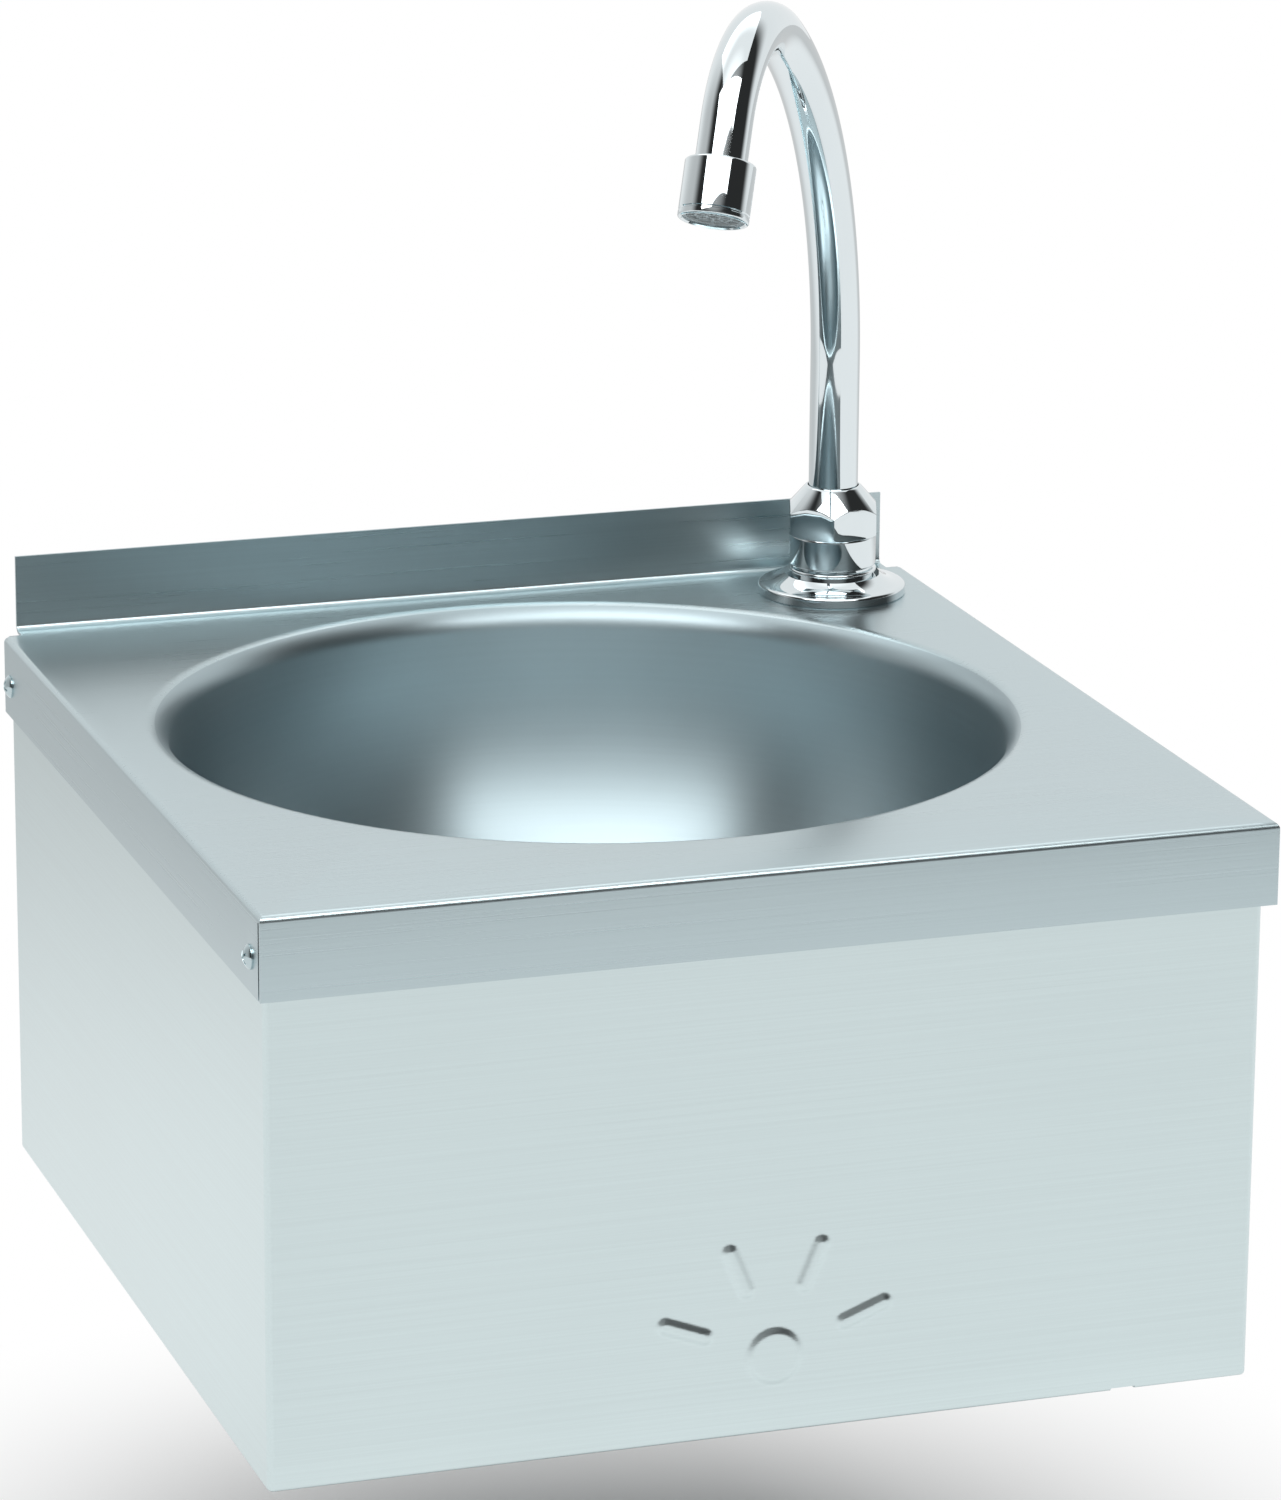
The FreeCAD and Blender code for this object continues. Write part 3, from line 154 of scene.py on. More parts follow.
class TapSizes(bpy.types.PropertyGroup):
    """Tap base, swivel spout and aerator."""

    middle: position("Tap middle", (0.1559, -0.0407), "Upright axis of the tap")
    flange: length("Flange", 0.0315, "Radius of the deck flange")
    flange_edge: length("Flange edge", 0.0044, "Upright edge of the deck flange")
    flange_top: length("Flange top", 0.0205, "Radius at the top of the flange's slope")
    flange_height: length("Flange height", 0.0085, "Height of the deck flange")
    body: length("Body", 0.0186, "Radius of the tap body")
    body_top: length("Body top", 0.0263, "Top of the body above the deck")
    shank: length("Shank", 0.0102, "Radius of the threaded shank under the deck")
    shank_end: length("Shank end", -0.055, "Lower end of the shank from the deck")
    waterway: length("Waterway", 0.006, "Radius of the bore in the shank")
    spigot: length("Spigot", 0.0134, "Radius of the threaded spigot inside the nut")
    socket_top: length("Socket top", 0.036, "Top of the spigot above the deck")
    socket_floor: length("Socket floor", 0.012, "Floor of the tube's socket above the deck")
    nut_corner: length("Nut corner", 0.02114, "Spout nut across corners, half")
    nut_shoulder: length("Nut shoulder", 0.0353, "Start of the nut's cone above the deck")
    nut_top: length("Nut top", 0.0472, "Top of the nut above the deck")
    nut_turn: turn_angle("Nut turn", 11.6, "How far the nut is turned when tight")
    tube: length("Tube", 0.0105, "Radius of the spout tube")
    tube_wall: length("Tube wall", 0.0012, "Wall of the spout tube")
    tube_start: length("Tube start", 0.014, "Lower end of the tube above the deck")
    reach: turn_angle("Reach", -126, "Direction of the spout from the X axis")
    stub: length("Stub", 0.0877, "Upright start of the tube")
    sweep: turn_angle("Sweep", 62.6, "Long bend")
    sweep_radius: length("Sweep radius", 0.1746, "Radius of the long bend")
    hook: turn_angle("Hook", 91.8, "Bend at the top")
    hook_radius: length("Hook radius", 0.0516, "Radius of the bend at the top")
    end: length("End", 0.024, "Straight end of the tube")
    aerator: length("Aerator", 0.0143, "Radius of the aerator housing")
    aerator_mouth: length("Aerator mouth", 0.017, "Housing past the tube's end")
    aerator_overlap: length("Aerator overlap", 0.007, "Housing over the tube")
    aerator_wall: length("Aerator wall", 0.002, "Wall of the aerator housing")


class FinishColours(bpy.types.PropertyGroup):
    """Colours and gloss of the finishes."""

    deck_steel: colour("Deck steel", (0.50, 0.595, 0.62), "Brushed sheet of the deck and rim")
    bowl_steel: colour("Bowl steel", (0.43, 0.52, 0.55), "Satin sheet of the bowl")
    skirt_steel: colour("Skirt steel", (0.645, 0.745, 0.755), "Brushed sheet of the skirt")
    chrome: colour("Chrome", (0.72, 0.78, 0.80), "Polished plating")
    brass: colour("Brass", (0.50, 0.33, 0.12), "Turned brass")
    copper: colour("Copper", (0.48, 0.20, 0.11), "Drawn copper tube")
    rubber: colour("Rubber", (0.022, 0.022, 0.024), "Black rubber")
    nylon: colour("Nylon", (0.66, 0.66, 0.62), "White nylon")
    grid: colour("Grid", (0.62, 0.66, 0.67), "Moulded grid of the aerator")
    deck_rough: share("Deck roughness", 0.28, "Roughness of the deck and rim")
    skirt_rough: share("Skirt roughness", 0.30, "Roughness of the skirt")
    bowl_rough: share("Bowl roughness", 0.38, "Roughness of the bowl")
    chrome_rough: share("Chrome roughness", 0.035, "Roughness of the plating")


class StudioSettings(bpy.types.PropertyGroup):
    """Floor, lamps and camera."""

    floor_height: length("Floor height", -0.300, "Floor under the wall-hung basin")
    floor_radius: length("Floor radius", 7, "Radius of the floor")
    camera_place: position("Camera place", (-0.77508, -2.54923, 0.81503), "Where the camera stands")
    camera_turn: turn_angle("Camera turn", -18.44, "Camera's side angle")
    camera_height: turn_angle("Camera height", 16.21, "Camera's angle above the horizon")
    camera_roll: turn_angle("Camera roll", 0.37, "Camera's tilt about its view")
    lens: FloatProperty(name="Lens", description="Focal length in millimetres", default=154.58, min=1)
    shift: FloatVectorProperty(name="Shift", description="Camera shift", size=2, default=(0.0127, 0.0009))
    front_lamp: power("Front lamp", 48, "Power of the softbox in front")
    front_size: position("Front size", (3.4, 1.2), "Width and height of the softbox in front")
    front_place: position("Front place", (-0.46, -1.42, 2.11), "Where the softbox in front hangs")
    front_target: position("Front target", (0, -0.2, 0.1), "What the softbox in front points at")
    top_lamp: power("Top lamp", 15, "Power of the softbox overhead")
    top_size: position("Top size", (2.2, 2.2), "Width and height of the softbox overhead")
    top_place: position("Top place", (0.1, 0.4, 1.9), "Where the softbox overhead hangs")
    top_target: position("Top target", (0.1, 0.3, 0.1), "What the softbox overhead points at")
    room: share("Room", 0.25, "Light that the room gives all round")


class Value:
    """A socket in a node tree; arithmetic on it adds Math nodes."""

    def __init__(self, nodes, socket):
        self.nodes = nodes
        self.socket = socket

    def math(self, operation, first, *others):
        return self.nodes.add("ShaderNodeMath", {"operation": operation}, dict(enumerate((first, *others))))

    def output(self, name):
        return Value(self.nodes, self.socket.node.outputs[name])

    def __add__(self, other):
        return self.math("ADD", self, other)

    def __radd__(self, other):
        return self.math("ADD", other, self)

    def __sub__(self, other):
        return self.math("SUBTRACT", self, other)

    def __rsub__(self, other):
        return self.math("SUBTRACT", other, self)

    def __mul__(self, other):
        return self.math("MULTIPLY", self, other)

    def __rmul__(self, other):
        return self.math("MULTIPLY", other, self)

    def __truediv__(self, other):
        return self.math("DIVIDE", self, other)

    def __abs__(self):
        return self.math("ABSOLUTE", self)

    def largest(self, other):
        return self.math("MAXIMUM", self, other)

    def root(self):
        return self.math("SQRT", self)

    def ramp(self, low, high):
        """Rises smoothly from 0 at low to 1 at high."""
        return self.nodes.add("ShaderNodeMapRange", {"interpolation_type": "SMOOTHSTEP"},
                              {"Value": self, "From Min": low, "From Max": high})


class Nodes:
    """An emptied node tree that nodes are added to."""

    def __init__(self, tree):
        self.tree = tree
        tree.nodes.clear()

    def add(self, kind, settings=None, inputs=None, output=0):
        node = self.tree.nodes.new(kind)
        for name, setting in (settings or {}).items():
            setattr(node, name, setting)
        for key, value in (inputs or {}).items():
            if isinstance(value, Value):
                self.tree.links.new(value.socket, node.inputs[key])
            else:
                node.inputs[key].default_value = value
        return Value(self, node.outputs[output] if len(node.outputs) else None)

    def place(self, name="Object"):
        return self.add("ShaderNodeTexCoord").output(name)

    def noise(self, stretch, detail=3, roughness=0.6):
        """Noise on the piece's own coordinates, with its cells per metre along each axis."""
        spot = self.add("ShaderNodeMapping", {}, {"Vector": self.place(), "Scale": stretch})
        return self.add("ShaderNodeTexNoise", {}, {"Vector": spot, "Scale": 1, "Detail": detail,
                                                   "Roughness": roughness})

    def blend(self, amount, first, second):
        """Mixes two colours."""
        return self.add("ShaderNodeMix", {"data_type": "RGBA"}, {0: amount, 6: first, 7: second}, 2)

    def bump(self, height, strength, distance):
        return self.add("ShaderNodeBump", {}, {"Height": height, "Strength": strength, "Distance": distance})

    def surface(self, **inputs):
        """Principled surface on the material's output; socket names have _ for spaces."""
        named = {key.replace("_", " "): value for key, value in inputs.items()}
        shader = self.add("ShaderNodeBsdfPrincipled", {}, named)
        self.add("ShaderNodeOutputMaterial", {}, {"Surface": shader})


def new_finish(name):
    material = bpy.data.materials.new(name)
    material.use_nodes = True
    return material, Nodes(material.node_tree)


def tint(base, factor):
    return (*(min(1, part * factor) for part in base), 1)


def brushed_steel(name, base, rough):
    """Sheet brushed in fine lines, with other lines on the faces that look sideways."""
    material, nodes = new_finish(name)
    facing = nodes.add("ShaderNodeSeparateXYZ", {}, {0: nodes.place("Normal")})
    sideways = abs(facing).ramp(0.6, 0.8)
    front = nodes.noise((5, 1100, 1100))
    side = nodes.noise((1100, 5, 1100))
    lines = front + (side - front) * sideways
    clouds = nodes.noise((9, 9, 9), 2, 0.5)
    shade = lines * 0.7 + clouds * 0.3
    nodes.surface(
        Base_Color=nodes.blend(shade.ramp(0.25, 0.75), tint(base, 0.965), tint(base, 1.03)),
        Metallic=1.0,
        Roughness=rough - 0.05 + lines * 0.08 + clouds * 0.03,
        Normal=nodes.bump(lines, 0.2, 0.0002),
    )
    return material


def satin_steel(name, base, rough, middle):
    """Drawn sheet with faint rings round an upright axis."""
    material, nodes = new_finish(name)
    spot = nodes.add("ShaderNodeSeparateXYZ", {}, {0: nodes.place()})
    across = spot.output("X") - middle[0]
    along = spot.output("Y") - middle[1]
    ring = nodes.add("ShaderNodeCombineXYZ", {}, {
        "X": (across * across + along * along).root() * 700,
        "Y": spot.output("Z") * 500,
    })
    rings = nodes.add("ShaderNodeTexNoise", {}, {"Vector": ring, "Scale": 1, "Detail": 2, "Roughness": 0.5})
    clouds = nodes.noise((14, 14, 14), 3, 0.55)
    nodes.surface(
        Base_Color=nodes.blend(rings * 0.5 + clouds * 0.5, tint(base, 0.93), tint(base, 1.06)),
        Metallic=1.0,
        Roughness=rough - 0.04 + rings * 0.05 + clouds * 0.05,
        Anisotropic=0.75,
        Anisotropic_Rotation=0.25,
        Normal=nodes.bump(rings, 0.06, 0.0002),
    )
    return material


def polished(name, base, rough):
    """Bright plating with faint smears."""
    material, nodes = new_finish(name)
    smears = nodes.noise((45, 45, 20), 4, 0.6)
    specks = nodes.noise((900, 900, 900), 2, 0.5)
    nodes.surface(
        Base_Color=nodes.blend(smears, tint(base, 0.97), tint(base, 1.03)),
        Metallic=1.0,
        Roughness=rough - 0.015 + smears.ramp(0.35, 0.8) * 0.035 + specks * 0.01,
    )
    return material


def turned_metal(name, base, rough, tarnish):
    """Plain machined or drawn metal, a little tarnished."""
    material, nodes = new_finish(name)
    marks = nodes.noise((500, 500, 500), 3, 0.6)
    clouds = nodes.noise((60, 60, 60), 4, 0.6)
    nodes.surface(
        Base_Color=nodes.blend(clouds.ramp(0.3, 0.75), tint(base, 1.05), tarnish),
        Metallic=1.0,
        Roughness=rough + clouds * 0.15 + marks * 0.08,
        Normal=nodes.bump(marks, 0.1, 0.0002),
    )
    return material


def moulded(name, base, rough, grain):
    """Plastic or rubber with a fine moulded grain."""
    material, nodes = new_finish(name)
    pores = nodes.noise((grain, grain, grain), 2, 0.5)
    clouds = nodes.noise((40, 40, 40), 3, 0.6)
    nodes.surface(
        Base_Color=nodes.blend(clouds, tint(base, 0.88), tint(base, 1.1)),
        Roughness=rough + (pores - 0.5) * 0.2,
        Normal=nodes.bump(pores, 0.15, 0.0003),
    )
    return material


finishes = {}


def mix_finishes(looks, basin):
    finishes["deck"] = brushed_steel("deck_steel", looks.deck_steel, looks.deck_rough)
    finishes["skirt"] = brushed_steel("skirt_steel", looks.skirt_steel, looks.skirt_rough)
    finishes["bowl"] = satin_steel("bowl_steel", looks.bowl_steel, looks.bowl_rough, basin.bowl_middle)
    finishes["chrome"] = polished("bright_chrome", looks.chrome, looks.chrome_rough)
    finishes["screw"] = polished("screw_steel", looks.deck_steel, 0.12)
    finishes["plate"] = turned_metal("plate_steel", looks.deck_steel, 0.30, tint(looks.deck_steel, 0.85))
    finishes["spring"] = turned_metal("spring_wire", tint(looks.deck_steel, 0.5)[:3], 0.25,
                                      tint(looks.deck_steel, 0.38))
    finishes["brass"] = turned_metal("turned_brass", looks.brass, 0.22, (0.30, 0.19, 0.08, 1))
    finishes["copper"] = turned_metal("drawn_copper", looks.copper, 0.20, (0.25, 0.11, 0.07, 1))
    finishes["rubber"] = moulded("black_rubber", looks.rubber, 0.65, 900)
    finishes["nylon"] = moulded("white_nylon", looks.nylon, 0.42, 700)
    finishes["grid"] = moulded("grid_plastic", looks.grid, 0.35, 700)


def deselect_all():
    if bpy.context.mode != "OBJECT":
        bpy.ops.object.mode_set(mode="OBJECT")
    bpy.ops.object.select_all(action="DESELECT")


def choose(*pieces):
    """Selects pieces, the first one active."""
    deselect_all()
    for piece in pieces:
        piece.select_set(True)
    bpy.context.view_layer.objects.active = pieces[0]


def settle():
    """Puts the active piece's place, turn and scale into its mesh."""
    bpy.ops.object.transform_apply(location=True, rotation=True, scale=True)
    return bpy.context.object


def shape(piece):
    """Opens a piece's mesh with all of it selected."""
    choose(piece)
    bpy.ops.object.mode_set(mode="EDIT")
    bpy.ops.mesh.select_mode(type="VERT")
    bpy.ops.mesh.select_all(action="SELECT")


def pick(kind, test):
    """Selects the faces, edges or corners whose middle passes a test."""
    bpy.ops.mesh.select_mode(type=kind)
    bpy.ops.mesh.select_all(action="DESELECT")
    mesh = bpy.context.edit_object.data
    form = bmesh.from_edit_mesh(mesh)
    found = 0
    for element in {"VERT": form.verts, "EDGE": form.edges, "FACE": form.faces}[kind]:
        corners = [element] if kind == "VERT" else element.verts
        middle = sum((corner.co for corner in corners), Vector()) / len(corners)
        if test(middle, element):
            element.select_set(True)
            found += 1
    form.select_flush_mode()
    bmesh.update_edit_mesh(mesh)
    if not found:
        raise RuntimeError(f"{bpy.context.edit_object.name}: no {kind.lower()} to work on")


CLEAR = 0.01  # how far a cutting tool stands past the sheet it cuts


def near(value, target):
    return abs(value - target) < 1e-5


def extrude(x, y, z):
    bpy.ops.mesh.extrude_region_move(TRANSFORM_OT_translate={"value": (x, y, z)})


def draw_out(x, y, z):
    """Extrudes the selected edges into a wall."""
    bpy.ops.mesh.extrude_edges_move(TRANSFORM_OT_translate={"value": (x, y, z)})


def close_up():
    """Merges doubled corners and points all faces outwards."""
    bpy.ops.mesh.select_all(action="SELECT")
    bpy.ops.mesh.remove_doubles(threshold=1e-6)
    bpy.ops.mesh.normals_make_consistent(inside=False)
    bpy.ops.object.mode_set(mode="OBJECT")


def modify(piece, kind, **settings):
    """Adds a modifier and applies it."""
    choose(piece)
    modifier = piece.modifiers.new(kind.lower(), kind)
    for name, setting in settings.items():
        setattr(modifier, name, setting)
    bpy.ops.object.modifier_apply(modifier=modifier.name)


def carve(piece, operation, *tools):
    """Cuts or intersects a piece with tools that are clear of each other, which are then removed."""
    tool = join("carving_tool", tools)
    modify(piece, "BOOLEAN", operation=operation, object=tool, solver="EXACT")
    bpy.data.objects.remove(tool)


def soften(piece, width, segments=2, angle=30):
    modify(piece, "BEVEL", width=width, segments=segments, limit_method="ANGLE",
           angle_limit=math.radians(angle), harden_normals=False)


def smooth(piece, angle=35):
    choose(piece)
    bpy.ops.object.shade_smooth_by_angle(angle=math.radians(angle))


def join(name, pieces):
    choose(*pieces)
    bpy.ops.object.join()
    joined = bpy.context.object
    joined.name = name
    return joined


def arc(middle, radius, start, end, count):
    """Points of an arc in an outline, its angles in degrees from the outward direction."""
    angles = [math.radians(start + (end - start) * step / count) for step in range(count + 1)]
    return [(middle[0] + radius * math.cos(a), middle[1] + radius * math.sin(a)) for a in angles]


def turned(name, outline, place=(0, 0, 0), heading=(0, 0, 1), steps=96):
    """A piece turned from an outline of radius and height, set down with its axis along a heading."""
    deselect_all()
    (radius, height), *others = outline
    bpy.ops.mesh.primitive_plane_add(size=0.001, location=(radius, 0, height))
    piece = settle()
    piece.name = name
    shape(piece)
    bpy.ops.mesh.merge(type="CENTER")
    for next_radius, next_height in others:
        extrude(next_radius - radius, 0, next_height - height)
        radius, height = next_radius, next_height
    bpy.ops.mesh.select_all(action="SELECT")
    bpy.ops.mesh.spin(steps=steps, angle=2 * math.pi, center=(0, 0, 0), axis=(0, 0, 1))
    close_up()
    return put(piece, place, heading)


def put(piece, place, heading=(0, 0, 1), turn=0):
    """Turns a piece about its own axis, then sets it down along a heading."""
    choose(piece)
    way = Vector((0, 0, 1)).rotation_difference(Vector(heading)).to_matrix().to_4x4()
    piece.matrix_world = Matrix.Translation(place) @ way @ Matrix.Rotation(turn, 4, "Z")
    return settle()


def block(low, high):
    """A box between two corners, used as a cutting tool or a start."""
    deselect_all()
    middle = [(a + b) / 2 for a, b in zip(low, high)]
    bpy.ops.mesh.primitive_cube_add(size=1, location=middle)
    bpy.context.object.scale = [b - a for a, b in zip(low, high)]
    return settle()


def drill(radius, start, depth, heading):
    """A plain round cutting tool."""
    return turned("drill", [(0, 0), (radius, 0), (radius, depth), (0, depth)], start, heading, 48)


def copies(piece, places):
    """A piece and its copies at other offsets, joined."""
    made = [piece]
    for place in places[1:]:
        choose(piece)
        bpy.ops.object.duplicate()
        made.append(put(bpy.context.object, place))
    put(piece, places[0])
    return join(piece.name, made)


def hexagon_nut(name, corner, height, outline, place, heading, turn=0):
    """A hexagon bar cut to a turned outline."""
    deselect_all()
    bpy.ops.mesh.primitive_cylinder_add(vertices=6, radius=corner, depth=height, location=(0, 0, height / 2))
    nut = settle()
    nut.name = name
    put(nut, (0, 0, 0), turn=math.radians(-30))
    carve(nut, "INTERSECT", turned("nut_outline", outline))
    soften(nut, 0.0002, 2, 20)
    smooth(nut, 30)
    return put(nut, place, heading, turn)


def chamfered(corner, height, bore):
    """Outline of a nut with both ends chamfered to a round bore."""
    flat = corner * math.cos(math.pi / 6)
    drop = (corner - flat * 0.96) * 0.5
    big = corner * 1.02
    low = flat * 0.96
    return [(bore, 0), (low, 0), (big, drop), (big, height - drop), (low, height), (bore, height), (bore, 0)]


def ridges(radius, depth, start, end, pitch):
    """Outline of a screw thread as rings, from start to end."""
    count = max(1, round(abs(end - start) / pitch))
    step = (end - start) / count
    points = []
    for number in range(count):
        base = start + number * step
        points += [(radius - depth, base), (radius - depth, base + step * 0.15),
                   (radius, base + step * 0.5), (radius, base + step * 0.65)]
    return points + [(radius - depth, end)]


def hand_over(piece, body, slot, finish, *nodes):
    """Puts a finished piece on its body, in place of its CAD nodes."""
    deselect_all()
    piece.data.name = piece.name
    if not piece.data.materials:
        piece.data.materials.append(finishes[finish])
    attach(piece, body)
    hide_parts(*nodes)


class BASIN_OT_shell(bpy.types.Operator):
    """Pressed deck with its folded rim, upstand, rolled edge and bowl"""

    bl_idname = "basin.shell"
    bl_label = "Deck and bowl"

    def execute(self, context):
        size = context.scene.basin_sizes
        skirt = context.scene.basin_skirt
        tap = context.scene.basin_tap
        wall = size.bowl_radius
        waste_seat = 0.012
        corner = wall - size.bowl_round
        floor = -size.bowl_depth
        outline = [(size.waste_hole, floor), (size.waste_hole + waste_seat, floor)]
        outline += arc((corner, floor + size.bowl_round), size.bowl_round, -90, 0, 30)
        outline += arc((wall + size.roll, -size.roll), size.roll, 180, 90, 14)
        shell = turned("basin_shell", outline, (*size.bowl_middle, size.deck), steps=size.segments)
        rim = self.rim_loop(size)
        shell = join("basin_shell", [shell, rim])
        shape(shell)
        pick("EDGE", lambda middle, edge: near(middle.z, size.deck) and len(edge.link_faces) < 2)
        bpy.ops.mesh.bridge_edge_loops()
        self.fold(size)
        modify(shell, "SOLIDIFY", thickness=size.sheet, offset=-1, use_even_offset=True)
        tools = [drill(size.tap_hole, (*tap.middle, size.deck - CLEAR), 2 * CLEAR, (0, 0, 1))]
        back = size.rim_front + size.sheet
        past = 0.002
        for hand in (-1, 1):
            low_x, high_x = sorted((hand * (size.rim_side - size.seam_reach), hand * (size.rim_side + past)))
            tools.append(block((low_x, back, size.deck - size.rim_drop - CLEAR),
                               (high_x, back + size.seam, size.deck - size.bend)))
            for spot in (skirt.pivot, skirt.guide):
                start = (hand * (size.rim_side - CLEAR), spot, skirt.screw_height)
                tools.append(drill(size.screw_hole, start, 2 * CLEAR, (hand, 0, 0)))
        carve(shell, "DIFFERENCE", *tools)
        self.paint(shell, size)
        smooth(shell, 32)
        hand_over(shell, "basin", "stainless", "deck", "basin_top", "bowl")
        return {"FINISHED"}

    def rim_loop(self, size):
        """The deck's outline, in as many steps as the bowl."""
        deselect_all()
        middle = (0, (size.rim_front + size.rim_rear) / 2, size.deck)
        bpy.ops.mesh.primitive_plane_add(size=1, location=middle)
        bpy.context.object.scale = (2 * size.rim_side, size.rim_rear - size.rim_front, 1)
        rim = settle()
        shape(rim)
        bpy.ops.mesh.delete(type="ONLY_FACE")
        bpy.ops.mesh.select_all(action="SELECT")
        bpy.ops.mesh.subdivide(number_cuts=size.segments // 4 - 1)
        bpy.ops.object.mode_set(mode="OBJECT")
        return rim

    def fold(self, size):
        """Flanges down, upstand up, and all bends rounded."""
        for side in (-size.upstand_side, size.upstand_side):
            bpy.ops.mesh.select_all(action="SELECT")
            bpy.ops.mesh.bisect(plane_co=(side, 0, 0), plane_no=(1, 0, 0))
        pick("EDGE", lambda middle, edge: near(middle.z, size.deck) and near(middle.y, size.rim_rear)
             and abs(middle.x) < size.upstand_side)
        draw_out(0, -size.rim_rear - size.sheet, 0)
        draw_out(0, 0, size.upstand)
        pick("EDGE", lambda middle, edge: near(middle.z, size.deck)
             and (near(middle.y, size.rim_front) or near(abs(middle.x), size.rim_side)))
        draw_out(0, 0, -size.rim_drop)
        pick("EDGE", lambda middle, edge: near(middle.z, size.deck) and len(edge.link_faces) == 2
             and (near(middle.y, size.rim_front) or near(middle.y, -size.sheet)
                  or near(abs(middle.x), size.rim_side)))
        bpy.ops.mesh.bevel(offset=size.bend, segments=6, affect="EDGES")
        close_up()
        shape(bpy.context.object)
        form = bmesh.from_edit_mesh(bpy.context.edit_object.data)
        deck_faces = [face for face in form.faces if abs(face.normal.z) > 0.99]
        if sum(face.normal.z * face.calc_area() for face in deck_faces) < 0:
            bpy.ops.mesh.flip_normals()
        bpy.ops.object.mode_set(mode="OBJECT")

    def paint(self, shell, size):
        """Bowl finish inside the rolled edge, deck finish elsewhere."""
        shell.data.materials.append(finishes["deck"])
        shell.data.materials.append(finishes["bowl"])
        shape(shell)
        middle = Vector(size.bowl_middle)
        reach = size.bowl_radius + size.roll * 0.8
        pick("FACE", lambda spot, face: (spot.xy - middle).length < reach and spot.z < size.deck - 0.0008)
        shell.active_material_index = 1
        bpy.ops.object.material_slot_assign()
        bpy.ops.object.mode_set(mode="OBJECT")


